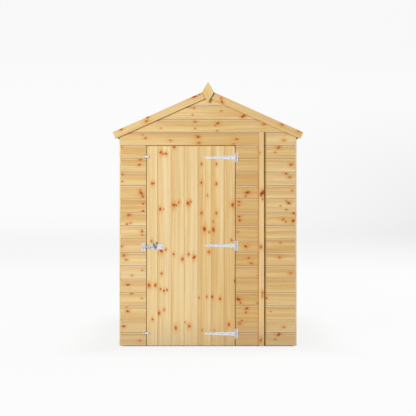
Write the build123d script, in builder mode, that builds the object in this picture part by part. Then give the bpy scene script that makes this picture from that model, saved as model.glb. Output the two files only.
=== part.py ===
from build123d import *
import math
import os

# Overall sizes, in millimetres
shed_width = 1500.0  # over the corner strips
shed_depth = 1800.0  # front boards to back boards
eaves_height = 1816.0  # top of the lower wall panels
roof_pitch = 24.1  # degrees
ground_gap = 8.0  # boards and door above the ground

# Wall boards and strips
cladding_thickness = 12.0
corner_strip_thickness = 12.0
corner_strip_width = 40.0
cover_strip_width = 43.0
cover_strip_thickness = 16.0
left_pier_width = 214.0  # boards left of the doorway
right_pier_width = 219.0  # boards between the doorway and the panel joint
narrow_panel_width = 285.0
lintel_height = 113.0
panel_joint_gap = 2.0

# Framing timber
stud_width = 38.0
stud_depth = 28.0
rail_height = 38.0
header_height = 44.0
rafter_height = 44.0
ridge_beam_width = 28.0
ridge_beam_height = 60.0
purlin_width = 28.0
purlin_height = 38.0
purlin_place = 380.0  # middle of each purlin from the ridge, measured level

# Floor
bearer_count = 6
bearer_width = 40.0
bearer_height = 38.0
deck_thickness = 12.0
deck_end_clearance = 5.0  # deck to the front and back boards
deck_side_clearance = 1.0

# Roof
roof_panel_thickness = 12.0
eaves_overhang = 16.0
eaves_rail_height = 46.0
felt_thickness = 3.0
felt_drip = 2.0
ridge_felt_width = 240.0
barge_width = 58.0
barge_thickness = 16.0
barge_rise = 6.0  # barge top above the felt, square to the slope
barge_overhang = 57.0  # outer top corner of each barge past the wall
finial_width = 102.0
finial_height = 174.0
finial_thickness = 16.0
finial_drop = 23.0  # finial middle below the barge peak

# Door
door_gap = 5.0
ledge_height = 95.0
ledge_thickness = 20.0
ledge_inset = 60.0
brace_foot = 110.0  # length of a brace cut along a ledge
stop_width = 20.0
stop_clearance = 5.0

# T-hinges
hinge_top_drop = 98.0  # top hinge below the top of the door
hinge_bottom_rise = 101.0  # bottom hinge above the foot of the door
hinge_leaf = 2.5
strap_length = 258.0
strap_root_width = 34.0
strap_tip_width = 15.0
strap_barrel_length = 33.0
barrel_gap = 1.0
plate_height = 83.0
plate_width = 22.5
plate_notch_margin = 1.5
barrel_radius = 5.5
pin_radius = 2.5
pin_clearance = 0.08

# Pad bolt
bolt_drop = 10.5  # bolt below the middle hinge
bolt_plate_inset = 12.0  # plate from the edge of the door
bolt_plate_length = 131.0
bolt_plate_height = 44.0
bolt_sheet = 2.5
rod_radius = 7.0
rod_clearance = 0.4
rod_tail = 3.0  # rod end past the handle
rod_chamfer = 2.0
guide_wall = 2.5
guide_length = 14.0
guide_inset = 5.0
guide_space = 5.0  # between the two guides on the door
keeper_width = 33.0
keeper_height = 66.0
keeper_edge = 4.0  # keeper edge from the doorway
keeper_guide_length = 24.0
rod_reach = 30.0  # rod tip past the doorway edge
handle_clearance = 5.0  # handle from the nearer guide
handle_width = 24.0
handle_thickness = 5.0
handle_lean = 13.0
handle_rise = 46.0
handle_drop = 16.0  # handle end below the rod

# Turn buttons
button_top_drop = 91.0  # top button below the top of the door
button_bottom_rise = 106.0  # bottom button above the foot of the door
button_length = 55.0
button_width = 16.0
button_thickness = 4.0
button_pivot_inset = 13.0  # pivot from the fixed end of the button
button_pivot_place = 17.0  # pivot from the doorway edge
button_standoff = 5.0
screw_radius = 2.5
screw_clearance = 0.08
screw_collar_radius = 6.0
screw_head_radius = 5.5
screw_head_height = 2.5
screw_play = 0.3

# Faces worked out from the sizes above; the front looks along -Y
slope = math.tan(math.radians(roof_pitch))
slope_cos = math.cos(math.radians(roof_pitch))
slope_sin = math.sin(math.radians(roof_pitch))
half_width = shed_width / 2
wall_face = shed_depth / 2
wall_back = wall_face - cladding_thickness
frame_back = wall_back - stud_depth
side_face = half_width - corner_strip_thickness
side_back = side_face - cladding_thickness
side_frame_back = side_back - stud_depth
floor_top = bearer_height + deck_thickness
rail_bottom = eaves_height - rail_height
panel_joint_place = side_face - narrow_panel_width
doorway_left = left_pier_width - side_face
doorway_right = panel_joint_place - right_pier_width
doorway_top = eaves_height - lintel_height
door_left = doorway_left + door_gap
door_right = doorway_right - door_gap
door_top = doorway_top - door_gap
joint_left = panel_joint_place - panel_joint_gap / 2
joint_right = panel_joint_place + panel_joint_gap / 2
eaves_edge = half_width + eaves_overhang
felt_edge = eaves_edge + felt_thickness
barge_tail = half_width + barge_overhang
hinge_bottom_height = ground_gap + hinge_bottom_rise
hinge_top_height = door_top - hinge_top_drop
hinge_middle_height = (hinge_bottom_height + hinge_top_height) / 2
hinge_heights = [hinge_bottom_height, hinge_middle_height, hinge_top_height]
bolt_height = hinge_middle_height - bolt_drop
bolt_plate_left = door_left + bolt_plate_inset
button_top_height = door_top - button_top_drop
button_bottom_height = ground_gap + button_bottom_rise

os.makedirs("parts", exist_ok=True)


def roof_height(across, rise=0.0):
    # Height of the line lying the given rise above the roof underside, square to the slope
    return eaves_height + (half_width - abs(across)) * slope + rise / slope_cos


def timber(left, right, front, back, bottom, top):
    # Adds one square timber between the given faces
    with Locations(((left + right) / 2, (front + back) / 2, (bottom + top) / 2)):
        Box(right - left, back - front, top - bottom)


def finish_node(node, name):
    node.part.label = name
    export_step(node.part, f"parts/{name}.step")


# Floor: bearers from front to back under one deck
deck_half_width = side_back - deck_side_clearance
deck_half_depth = wall_back - deck_end_clearance
bearer_spacing = (2 * deck_half_width - bearer_width) / (bearer_count - 1)
with BuildPart() as floor_bearers:
    with GridLocations(bearer_spacing, 0, bearer_count, 1):
        Box(
            bearer_width,
            2 * deck_half_depth,
            bearer_height,
            align=(Align.CENTER, Align.CENTER, Align.MIN),
        )
finish_node(floor_bearers, "floor_bearers")

with BuildPart() as floor_deck:
    timber(-deck_half_width, deck_half_width, -deck_half_depth, deck_half_depth, bearer_height, floor_top)
finish_node(floor_deck, "floor_deck")

# Front boarding, split beside and over the doorway and at the panel joint
with BuildPart() as front_left_cladding:
    timber(-side_face, doorway_left, -wall_face, -wall_back, ground_gap, eaves_height)
finish_node(front_left_cladding, "front_left_cladding")

with BuildPart() as front_lintel_cladding:
    timber(doorway_left, doorway_right, -wall_face, -wall_back, doorway_top, eaves_height)
finish_node(front_lintel_cladding, "front_lintel_cladding")

with BuildPart() as front_right_cladding:
    timber(doorway_right, joint_left, -wall_face, -wall_back, ground_gap, eaves_height)
finish_node(front_right_cladding, "front_right_cladding")

with BuildPart() as front_narrow_cladding:
    timber(joint_right, side_face, -wall_face, -wall_back, ground_gap, eaves_height)
finish_node(front_narrow_cladding, "front_narrow_cladding")

# Back boarding, with the same panel joint as the front
with BuildPart() as back_cladding:
    timber(-side_face, joint_left, wall_back, wall_face, ground_gap, eaves_height)
    timber(joint_right, side_face, wall_back, wall_face, ground_gap, eaves_height)
finish_node(back_cladding, "back_cladding")

# Side boarding, its top edge bevelled to the roof
with BuildPart() as right_cladding:
    with BuildSketch(Plane.XZ) as right_cladding_section:
        with BuildLine():
            Polyline(
                (side_back, ground_gap),
                (side_face, ground_gap),
                (side_face, roof_height(side_face)),
                (side_back, roof_height(side_back)),
                close=True,
            )
        make_face()
    extrude(amount=wall_back, both=True)
finish_node(right_cladding, "right_cladding")

with BuildPart() as left_cladding:
    mirror(right_cladding.part, about=Plane.YZ)
finish_node(left_cladding, "left_cladding")

# Gable boarding over the front and back panels
with BuildPart() as front_gable_cladding:
    with BuildSketch(Plane.XZ.offset(wall_back)) as gable_outline:
        with BuildLine():
            Polyline(
                (-side_face, eaves_height),
                (side_face, eaves_height),
                (side_face, roof_height(side_face)),
                (0, roof_height(0)),
                (-side_face, roof_height(side_face)),
                close=True,
            )
        make_face()
    extrude(amount=cladding_thickness)
finish_node(front_gable_cladding, "front_gable_cladding")

with BuildPart() as back_gable_cladding:
    mirror(front_gable_cladding.part, about=Plane.XZ)
finish_node(back_gable_cladding, "back_gable_cladding")

# Corner strips on the side walls, flush with the front and back boards
with BuildPart() as corner_strips:
    with BuildSketch(Plane.XZ.offset(wall_face - corner_strip_width)) as corner_strip_section:
        with BuildLine():
            Polyline(
                (side_face, ground_gap),
                (half_width, ground_gap),
                (half_width, roof_height(half_width)),
                (side_face, roof_height(side_face)),
                close=True,
            )
        make_face()
    extrude(amount=corner_strip_width)
    mirror(about=Plane.YZ)
    mirror(about=Plane.XZ)
finish_node(corner_strips, "corner_strips")

# Strips that cover the panel joints
with BuildPart() as front_cover_strip:
    with Locations((panel_joint_place, -wall_face, ground_gap)):
        Box(
            cover_strip_width,
            cover_strip_thickness,
            eaves_height - ground_gap,
            align=(Align.CENTER, Align.MAX, Align.MIN),
        )
finish_node(front_cover_strip, "front_cover_strip")

with BuildPart() as back_cover_strip:
    mirror(front_cover_strip.part, about=Plane.XZ)
finish_node(back_cover_strip, "back_cover_strip")

# Front frame: studs beside the doorway, at the joint and at the corners
front_stud_edges = [
    -side_back,
    doorway_left - stud_width,
    doorway_right,
    joint_left - stud_width,
    joint_right,
    side_back - stud_width,
]
with BuildPart() as front_studs:
    for edge in front_stud_edges:
        timber(edge, edge + stud_width, -wall_back, -frame_back, floor_top, rail_bottom)
finish_node(front_studs, "front_studs")

front_sill_spans = [
    (-side_back + stud_width, doorway_left - stud_width),
    (doorway_right + stud_width, joint_left - stud_width),
    (joint_right + stud_width, side_back - stud_width),
]
with BuildPart() as front_rails:
    for left, right in front_sill_spans:
        timber(left, right, -wall_back, -frame_back, floor_top, floor_top + rail_height)
    timber(-side_back, joint_left, -wall_back, -frame_back, rail_bottom, eaves_height)
    timber(joint_right, side_back, -wall_back, -frame_back, rail_bottom, eaves_height)
    timber(
        doorway_left,
        doorway_right,
        -wall_back,
        -frame_back,
        doorway_top,
        doorway_top + header_height,
    )
finish_node(front_rails, "front_rails")

# Back frame
back_middle_edge = (-side_back + joint_left - stud_width) / 2
back_stud_edges = [
    -side_back,
    back_middle_edge,
    joint_left - stud_width,
    joint_right,
    side_back - stud_width,
]
with BuildPart() as back_studs:
    for edge in back_stud_edges:
        timber(edge, edge + stud_width, frame_back, wall_back, floor_top, rail_bottom)
finish_node(back_studs, "back_studs")

back_sill_spans = [
    (-side_back + stud_width, back_middle_edge),
    (back_middle_edge + stud_width, joint_left - stud_width),
    (joint_right + stud_width, side_back - stud_width),
]
with BuildPart() as back_rails:
    for left, right in back_sill_spans:
        timber(left, right, frame_back, wall_back, floor_top, floor_top + rail_height)
    timber(-side_back, joint_left, frame_back, wall_back, rail_bottom, eaves_height)
    timber(joint_right, side_back, frame_back, wall_back, rail_bottom, eaves_height)
finish_node(back_rails, "back_rails")

# Side frames, alike on both sides, with a top rail bevelled to the roof
side_stud_shares = [-1.0, -0.5, 0.0, 0.5, 1.0]
side_stud_reach = frame_back - stud_width / 2
side_stud_places = [share * side_stud_reach for share in side_stud_shares]
with BuildPart() as side_studs:
    for place in side_stud_places:
        timber(
            side_frame_back,
            side_back,
            place - stud_width / 2,
            place + stud_width / 2,
            floor_top,
            rail_bottom,
        )
    mirror(about=Plane.YZ)
finish_node(side_studs, "side_studs")

with BuildPart() as side_rails:
    with BuildSketch(Plane.XZ) as side_plate_section:
        with BuildLine():
            Polyline(
                (side_frame_back, rail_bottom),
                (side_back, rail_bottom),
                (side_back, roof_height(side_back)),
                (side_frame_back, roof_height(side_frame_back)),
                close=True,
            )
        make_face()
    extrude(amount=frame_back, both=True)
    for near, far in zip(side_stud_places, side_stud_places[1:]):
        timber(
            side_frame_back,
            side_back,
            near + stud_width / 2,
            far - stud_width / 2,
            floor_top,
            floor_top + rail_height,
        )
    mirror(about=Plane.YZ)
finish_node(side_rails, "side_rails")

# Roof frame: gable rafters against a ridge beam, and a purlin under each slope
ridge_half = ridge_beam_width / 2
rafter_seat = half_width - rafter_height / slope_sin
with BuildPart() as gable_rafters:
    with BuildSketch(Plane.XZ.offset(frame_back)) as rafter_outline:
        with BuildLine():
            Polyline(
                (ridge_half, roof_height(ridge_half)),
                (side_back, roof_height(side_back)),
                (side_back, eaves_height),
                (rafter_seat, eaves_height),
                (ridge_half, roof_height(ridge_half, -rafter_height)),
                close=True,
            )
        make_face()
    extrude(amount=stud_depth)
    mirror(about=Plane.YZ)
    mirror(about=Plane.XZ)
finish_node(gable_rafters, "gable_rafters")

with BuildPart() as ridge_beam:
    with BuildSketch(Plane.XZ) as ridge_beam_section:
        with BuildLine():
            Polyline(
                (-ridge_half, roof_height(0) - ridge_beam_height),
                (ridge_half, roof_height(0) - ridge_beam_height),
                (ridge_half, roof_height(ridge_half)),
                (0, roof_height(0)),
                (-ridge_half, roof_height(ridge_half)),
                close=True,
            )
        make_face()
    extrude(amount=wall_back, both=True)
finish_node(ridge_beam, "ridge_beam")

purlin_plane = Plane(
    origin=(purlin_place, 0, roof_height(purlin_place)),
    x_dir=(slope_cos, 0, -slope_sin),
    z_dir=(0, -1, 0),
)
with BuildPart() as roof_purlins:
    with BuildSketch(purlin_plane) as purlin_section:
        Rectangle(purlin_width, purlin_height, align=(Align.CENTER, Align.MAX))
    extrude(amount=frame_back, both=True)
    mirror(about=Plane.YZ)
finish_node(roof_purlins, "roof_purlins")

# Roof panels, eaves rails and felt
with BuildPart() as right_roof_panel:
    with BuildSketch(Plane.XZ) as roof_panel_section:
        with BuildLine():
            Polyline(
                (0, roof_height(0)),
                (eaves_edge, roof_height(eaves_edge)),
                (eaves_edge, roof_height(eaves_edge, roof_panel_thickness)),
                (0, roof_height(0, roof_panel_thickness)),
                close=True,
            )
        make_face()
    extrude(amount=wall_face, both=True)
finish_node(right_roof_panel, "right_roof_panel")

with BuildPart() as left_roof_panel:
    mirror(right_roof_panel.part, about=Plane.YZ)
finish_node(left_roof_panel, "left_roof_panel")

eaves_rail_bottom = eaves_height - eaves_rail_height
with BuildPart() as eaves_rails:
    with BuildSketch(Plane.XZ) as eaves_rail_section:
        with BuildLine():
            Polyline(
                (half_width, eaves_rail_bottom),
                (eaves_edge, eaves_rail_bottom),
                (eaves_edge, roof_height(eaves_edge)),
                (half_width, roof_height(half_width)),
                close=True,
            )
        make_face()
    extrude(amount=wall_face, both=True)
    mirror(about=Plane.YZ)
finish_node(eaves_rails, "eaves_rails")

felt_rise = roof_panel_thickness + felt_thickness
felt_lip = eaves_rail_bottom - felt_drip
with BuildPart() as right_roof_felt:
    with BuildSketch(Plane.XZ) as felt_section:
        with BuildLine():
            Polyline(
                (0, roof_height(0, roof_panel_thickness)),
                (eaves_edge, roof_height(eaves_edge, roof_panel_thickness)),
                (eaves_edge, felt_lip),
                (felt_edge, felt_lip),
                (felt_edge, roof_height(felt_edge, felt_rise)),
                (0, roof_height(0, felt_rise)),
                close=True,
            )
        make_face()
    extrude(amount=wall_face, both=True)
finish_node(right_roof_felt, "right_roof_felt")

with BuildPart() as left_roof_felt:
    mirror(right_roof_felt.part, about=Plane.YZ)
finish_node(left_roof_felt, "left_roof_felt")

cap_half = ridge_felt_width / 2
cap_rise = felt_rise + felt_thickness
with BuildPart() as ridge_felt:
    with BuildSketch(Plane.XZ) as ridge_felt_section:
        with BuildLine():
            Polyline(
                (-cap_half, roof_height(cap_half, felt_rise)),
                (0, roof_height(0, felt_rise)),
                (cap_half, roof_height(cap_half, felt_rise)),
                (cap_half, roof_height(cap_half, cap_rise)),
                (0, roof_height(0, cap_rise)),
                (-cap_half, roof_height(cap_half, cap_rise)),
                close=True,
            )
        make_face()
    extrude(amount=wall_face, both=True)
finish_node(ridge_felt, "ridge_felt")

# Barge boards meet at the peak and are cut square at the tail; finials cover the peaks
barge_top = felt_rise + barge_rise
barge_tail_top = roof_height(barge_tail, barge_top)
with BuildPart() as front_right_barge:
    with BuildSketch(Plane.XZ.offset(wall_face)) as barge_outline:
        with BuildLine():
            Polyline(
                (0, roof_height(0, barge_top)),
                (barge_tail, barge_tail_top),
                (barge_tail - barge_width * slope_sin, barge_tail_top - barge_width * slope_cos),
                (0, roof_height(0, barge_top - barge_width)),
                close=True,
            )
        make_face()
    extrude(amount=barge_thickness)
finish_node(front_right_barge, "front_right_barge")

with BuildPart() as front_left_barge:
    mirror(front_right_barge.part, about=Plane.YZ)
finish_node(front_left_barge, "front_left_barge")

with BuildPart() as back_right_barge:
    mirror(front_right_barge.part, about=Plane.XZ)
finish_node(back_right_barge, "back_right_barge")

with BuildPart() as back_left_barge:
    mirror(front_left_barge.part, about=Plane.XZ)
finish_node(back_left_barge, "back_left_barge")

finial_middle = roof_height(0, barge_top) - finial_drop
with BuildPart() as front_finial:
    with BuildSketch(Plane.XZ.offset(wall_face + barge_thickness)) as finial_outline:
        with BuildLine():
            Polyline(
                (0, finial_middle - finial_height / 2),
                (finial_width / 2, finial_middle),
                (0, finial_middle + finial_height / 2),
                (-finial_width / 2, finial_middle),
                close=True,
            )
        make_face()
    extrude(amount=finial_thickness)
finish_node(front_finial, "front_finial")

with BuildPart() as back_finial:
    mirror(front_finial.part, about=Plane.XZ)
finish_node(back_finial, "back_finial")

# Door: boards, three ledges at the hinge heights, and two braces that rise from the hinge side
with BuildPart() as door_boards:
    timber(door_left, door_right, -wall_face, -wall_back, ground_gap, door_top)
finish_node(door_boards, "door_boards")

ledge_left = door_left + ledge_inset
ledge_right = door_right - ledge_inset
ledge_back = wall_back - ledge_thickness
with BuildPart() as door_ledges:
    for height in hinge_heights:
        timber(
            ledge_left,
            ledge_right,
            -wall_back,
            -ledge_back,
            height - ledge_height / 2,
            height + ledge_height / 2,
        )
finish_node(door_ledges, "door_ledges")

with BuildPart() as door_braces:
    with BuildSketch(Plane.XZ.offset(ledge_back)) as brace_outline:
        for lower, upper in zip(hinge_heights, hinge_heights[1:]):
            foot = lower + ledge_height / 2
            head = upper - ledge_height / 2
            with BuildLine():
                Polyline(
                    (ledge_right - brace_foot, foot),
                    (ledge_right, foot),
                    (ledge_left + brace_foot, head),
                    (ledge_left, head),
                    close=True,
                )
            make_face()
    extrude(amount=ledge_thickness)
finish_node(door_braces, "door_braces")

stop_front = wall_back - stop_clearance
with BuildPart() as door_stops:
    timber(
        doorway_left,
        doorway_left + stop_width,
        -stop_front,
        -frame_back,
        floor_top,
        doorway_top - stop_width,
    )
    timber(
        doorway_right - stop_width,
        doorway_right,
        -stop_front,
        -frame_back,
        floor_top,
        doorway_top - stop_width,
    )
    timber(
        doorway_left + stop_width + stop_clearance,
        doorway_right - stop_width - stop_clearance,
        -stop_front,
        -frame_back,
        doorway_top - stop_width,
        doorway_top,
    )
finish_node(door_stops, "door_stops")

# T-hinges: a tapered strap with one barrel turns on a pin held by the plate's two barrels
hinge_across = doorway_right - door_gap / 2
hinge_out = wall_face + barrel_radius
strap_tip = hinge_across - strap_length
with BuildPart() as hinge_straps:
    for height in hinge_heights:
        with BuildSketch(Plane.XZ.offset(wall_face)) as strap_outline:
            with BuildLine():
                Line(
                    (hinge_across, height - strap_root_width / 2),
                    (hinge_across, height + strap_root_width / 2),
                )
                Line(
                    (hinge_across, height + strap_root_width / 2),
                    (strap_tip + strap_tip_width / 2, height + strap_tip_width / 2),
                )
                ThreePointArc(
                    (strap_tip + strap_tip_width / 2, height + strap_tip_width / 2),
                    (strap_tip, height),
                    (strap_tip + strap_tip_width / 2, height - strap_tip_width / 2),
                )
                Line(
                    (strap_tip + strap_tip_width / 2, height - strap_tip_width / 2),
                    (hinge_across, height - strap_root_width / 2),
                )
            make_face()
        extrude(amount=hinge_leaf)
        with Locations((hinge_across, -hinge_out, height)):
            Cylinder(barrel_radius, strap_barrel_length)
            Cylinder(pin_radius + pin_clearance, strap_root_width, mode=Mode.SUBTRACT)
finish_node(hinge_straps, "hinge_straps")

plate_barrel_length = (plate_height - strap_root_width) / 2 - barrel_gap
plate_barrel_offset = (plate_height - plate_barrel_length) / 2
notch_width = barrel_radius + plate_notch_margin
notch_height = strap_root_width + 2 * barrel_gap
with BuildPart() as hinge_plates:
    for height in hinge_heights:
        with BuildSketch(Plane.XZ.offset(wall_face)) as plate_outline:
            with Locations((hinge_across, height)):
                Rectangle(plate_width, plate_height, align=(Align.MIN, Align.CENTER))
                Rectangle(
                    notch_width,
                    notch_height,
                    align=(Align.MIN, Align.CENTER),
                    mode=Mode.SUBTRACT,
                )
        extrude(amount=hinge_leaf)
        with Locations(
            (hinge_across, -hinge_out, height - plate_barrel_offset),
            (hinge_across, -hinge_out, height + plate_barrel_offset),
        ):
            Cylinder(barrel_radius, plate_barrel_length)
        with Locations((hinge_across, -hinge_out, height)):
            Cylinder(pin_radius, plate_height)
finish_node(hinge_plates, "hinge_plates")

# Pad bolt: a rod slides in two guides on the door plate and into the keeper's guide
guide_inner = rod_radius + rod_clearance
guide_outer = guide_inner + guide_wall
bolt_face = wall_face + bolt_sheet
rod_out = bolt_face + guide_inner
bolt_plate_right = bolt_plate_left + bolt_plate_length
first_guide = bolt_plate_left + guide_inset
second_guide = first_guide + guide_length + guide_space


def rod_guide(start, length):
    # Adds one arched guide round the rod, standing on the sheet
    with BuildSketch(Plane.YZ.offset(start)) as guide_section:
        with Locations((-rod_out, bolt_height)):
            Circle(guide_outer)
            Rectangle(guide_inner, 2 * guide_outer, align=(Align.MIN, Align.CENTER))
            Circle(guide_inner, mode=Mode.SUBTRACT)
            Rectangle(
                guide_inner,
                2 * guide_inner,
                align=(Align.MIN, Align.CENTER),
                mode=Mode.SUBTRACT,
            )
    extrude(guide_section.sketch, amount=length)


with BuildPart() as pad_bolt_plate:
    timber(
        bolt_plate_left,
        bolt_plate_right,
        -bolt_face,
        -wall_face,
        bolt_height - bolt_plate_height / 2,
        bolt_height + bolt_plate_height / 2,
    )
    rod_guide(first_guide, guide_length)
    rod_guide(second_guide, guide_length)
finish_node(pad_bolt_plate, "pad_bolt_plate")

keeper_right = doorway_left - keeper_edge
with BuildPart() as pad_bolt_keeper:
    timber(
        keeper_right - keeper_width,
        keeper_right,
        -bolt_face,
        -wall_face,
        bolt_height - keeper_height / 2,
        bolt_height + keeper_height / 2,
    )
    rod_guide(keeper_right - (keeper_width + keeper_guide_length) / 2, keeper_guide_length)
finish_node(pad_bolt_keeper, "pad_bolt_keeper")

rod_start = doorway_left - rod_reach
handle_left = second_guide + guide_length + handle_clearance
rod_length = handle_left + handle_width + rod_tail - rod_start
with BuildPart() as pad_bolt_rod:
    with BuildSketch(Plane.YZ.offset(rod_start)) as rod_section:
        with Locations((-rod_out, bolt_height)):
            Circle(rod_radius)
    extrude(amount=rod_length)
    chamfer(pad_bolt_rod.edges().filter_by(GeomType.CIRCLE), rod_chamfer)
    with BuildSketch(Plane.YZ.offset(handle_left)) as handle_side:
        with BuildLine():
            Polyline(
                (-rod_out + handle_thickness / 2, bolt_height - handle_drop),
                (-rod_out + handle_thickness / 2, bolt_height),
                (-rod_out - handle_lean + handle_thickness / 2, bolt_height + handle_rise),
                (-rod_out - handle_lean - handle_thickness / 2, bolt_height + handle_rise),
                (-rod_out - handle_thickness / 2, bolt_height),
                (-rod_out - handle_thickness / 2, bolt_height - handle_drop),
                close=True,
            )
        make_face()
    extrude(amount=handle_width)
finish_node(pad_bolt_rod, "pad_bolt_rod")

# Turn buttons on pivot screws beside the doorway
button_back = wall_face + button_standoff
button_front = button_back + button_thickness
pivot_across = doorway_left - button_pivot_place
button_middle = pivot_across - button_pivot_inset + button_length / 2
with BuildPart() as turn_button_top:
    with BuildSketch(Plane.XZ.offset(button_back)) as button_outline:
        with Locations((button_middle, button_top_height)):
            SlotOverall(button_length, button_width)
        with Locations((pivot_across, button_top_height)):
            Circle(screw_radius + screw_clearance, mode=Mode.SUBTRACT)
    extrude(amount=button_thickness)
finish_node(turn_button_top, "turn_button_top")

with BuildPart() as turn_button_bottom:
    with Locations((0, 0, button_bottom_height - button_top_height)):
        add(turn_button_top.part)
finish_node(turn_button_bottom, "turn_button_bottom")

with BuildPart() as turn_button_screws:
    for height in [button_bottom_height, button_top_height]:
        with BuildSketch(Plane.XZ.offset(wall_face)) as collar_outline:
            with Locations((pivot_across, height)):
                Circle(screw_collar_radius)
        extrude(amount=button_standoff - screw_play)
        with BuildSketch(Plane.XZ.offset(wall_face)) as shank_outline:
            with Locations((pivot_across, height)):
                Circle(screw_radius)
        extrude(amount=button_standoff + button_thickness + screw_play)
        with BuildSketch(Plane.XZ.offset(button_front + screw_play)) as head_outline:
            with Locations((pivot_across, height)):
                Circle(screw_head_radius)
        extrude(amount=screw_head_height)
finish_node(turn_button_screws, "turn_button_screws")
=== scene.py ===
import math
import bpy
import numpy as np
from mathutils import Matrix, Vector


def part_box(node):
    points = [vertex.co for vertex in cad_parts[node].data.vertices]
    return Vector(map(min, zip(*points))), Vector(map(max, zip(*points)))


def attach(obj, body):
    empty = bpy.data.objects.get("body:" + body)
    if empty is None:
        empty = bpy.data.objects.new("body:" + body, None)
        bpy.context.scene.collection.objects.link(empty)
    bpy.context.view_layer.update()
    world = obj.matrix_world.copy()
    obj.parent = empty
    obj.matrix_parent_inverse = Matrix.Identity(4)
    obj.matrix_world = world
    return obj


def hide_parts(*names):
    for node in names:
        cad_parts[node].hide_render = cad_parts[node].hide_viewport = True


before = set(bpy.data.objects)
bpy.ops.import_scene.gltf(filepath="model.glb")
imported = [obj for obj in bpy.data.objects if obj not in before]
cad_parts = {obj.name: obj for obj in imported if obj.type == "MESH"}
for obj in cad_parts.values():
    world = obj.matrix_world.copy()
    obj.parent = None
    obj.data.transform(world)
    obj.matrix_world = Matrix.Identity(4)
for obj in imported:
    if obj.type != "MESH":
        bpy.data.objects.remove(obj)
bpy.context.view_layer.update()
mm = 0.001
axes = np.eye(3)
axisX, axisY, axisZ = axes
print("frame loaded:", len(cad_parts), "nodes")


# Colours are written as the eye sees them, 0 to 255, and turned into Blender's linear values
def tint(red, green, blue):
    share = np.array([red, green, blue]) / 255.0
    straight = np.where(share <= 0.04045, share / 12.92, ((share + 0.055) / 1.055) ** 2.4)
    return (*straight.tolist(), 1.0)


# A wire is a node's output that takes part in sums; each sum adds a Math node to its tree
class Wire:
    def __init__(self, tree, socket):
        self.tree = tree
        self.socket = socket

    def __add__(self, other):
        return calc("ADD", self, other)

    def __sub__(self, other):
        return calc("SUBTRACT", self, other)

    def __mul__(self, other):
        return calc("MULTIPLY", self, other)

    def __truediv__(self, other):
        return calc("DIVIDE", self, other)


def wiresOf(tree, node):
    return {socket.name: Wire(tree, socket) for socket in node.outputs}


def treeOf(values):
    return next(value.tree for value in values if isinstance(value, Wire))


def feed(socket, value):
    if isinstance(value, Wire):
        value.tree.links.new(value.socket, socket)
    else:
        socket.default_value = value


# A node in the tree of its wires: its settings by name, and values for its first sockets in order
def addNode(kind, *values, **settings):
    tree = treeOf(values)
    node = tree.nodes.new("ShaderNode" + kind)
    for name, setting in settings.items():
        setattr(node, name, setting)
    for socket, value in zip(node.inputs, values):
        feed(socket, value)
    return Wire(tree, node.outputs[0])


def calc(operation, *values):
    return addNode("Math", *values, operation=operation)


def positive(value):
    return calc("MAXIMUM", value, 0.0)


def ease(value, low, high, start=0.0, stop=1.0):  # smooth step from low to high
    return addNode("MapRange", value, low, high, start, stop, interpolation_type="SMOOTHSTEP")


def join(*values):
    return addNode("CombineXYZ", *values)


def apart(vector):
    node = vector.tree.nodes.new("ShaderNodeSeparateXYZ")
    feed(node.inputs[0], vector)
    return list(wiresOf(vector.tree, node).values())


def noiseAt(place, scale, detail=2.0, roughness=0.5):
    return addNode("TexNoise", place, 0.0, scale, detail, roughness)


# Noise drawn out one way: so many waves a metre along and across
def drawnNoise(place, along, across, detail=2.0, roughness=0.5):
    u, v, layer = place
    return noiseAt(join(u * along, v * across, layer), 1.0, detail, roughness)


def mixColour(share, first, second, kind="MIX"):
    tree = treeOf((share, first, second))
    node = tree.nodes.new("ShaderNodeMix")
    node.data_type = "RGBA"
    node.blend_type = kind
    for i, value in ((0, share), (6, first), (7, second)):  # the sockets of a colour mix
        feed(node.inputs[i], value)
    return Wire(tree, node.outputs[2])


def objectPlace(tree):
    return wiresOf(tree, tree.nodes.new("ShaderNodeTexCoord"))["Object"]


def newGroup(name, inputs, outputs):
    tree = bpy.data.node_groups.new(name, "ShaderNodeTree")
    for flow, sockets in (("INPUT", inputs), ("OUTPUT", outputs)):
        for label, kind in sockets.items():
            tree.interface.new_socket(name=label, in_out=flow, socket_type="NodeSocket" + kind)
    return tree, wiresOf(tree, tree.nodes.new("NodeGroupInput"))


def closeGroup(tree, results):
    ends = tree.nodes.new("NodeGroupOutput").inputs
    for label, value in results.items():
        feed(ends[label], value)
    return tree


def useGroup(tree, group, values):
    node = tree.nodes.new("ShaderNodeGroup")
    node.node_tree = group
    for label, value in values.items():
        feed(node.inputs[label], value)
    return wiresOf(tree, node)


def newMaterial(name, plain):
    material = bpy.data.materials.new(name)
    material.use_nodes = True
    shader = material.node_tree.nodes["Principled BSDF"]
    for label, value in plain.items():
        shader.inputs[label].default_value = value
    return material, material.node_tree, shader


def paint(shader, colour, roughness, height, strength, distance):  # the last two are the bump's
    feed(shader.inputs["Base Color"], colour)
    feed(shader.inputs["Roughness"], roughness)
    bump = height.tree.nodes.new("ShaderNodeBump")
    bump.inputs["Strength"].default_value = strength
    bump.inputs["Distance"].default_value = distance
    feed(bump.inputs["Height"], height)
    height.tree.links.new(bump.outputs["Normal"], shader.inputs["Normal"])


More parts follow.
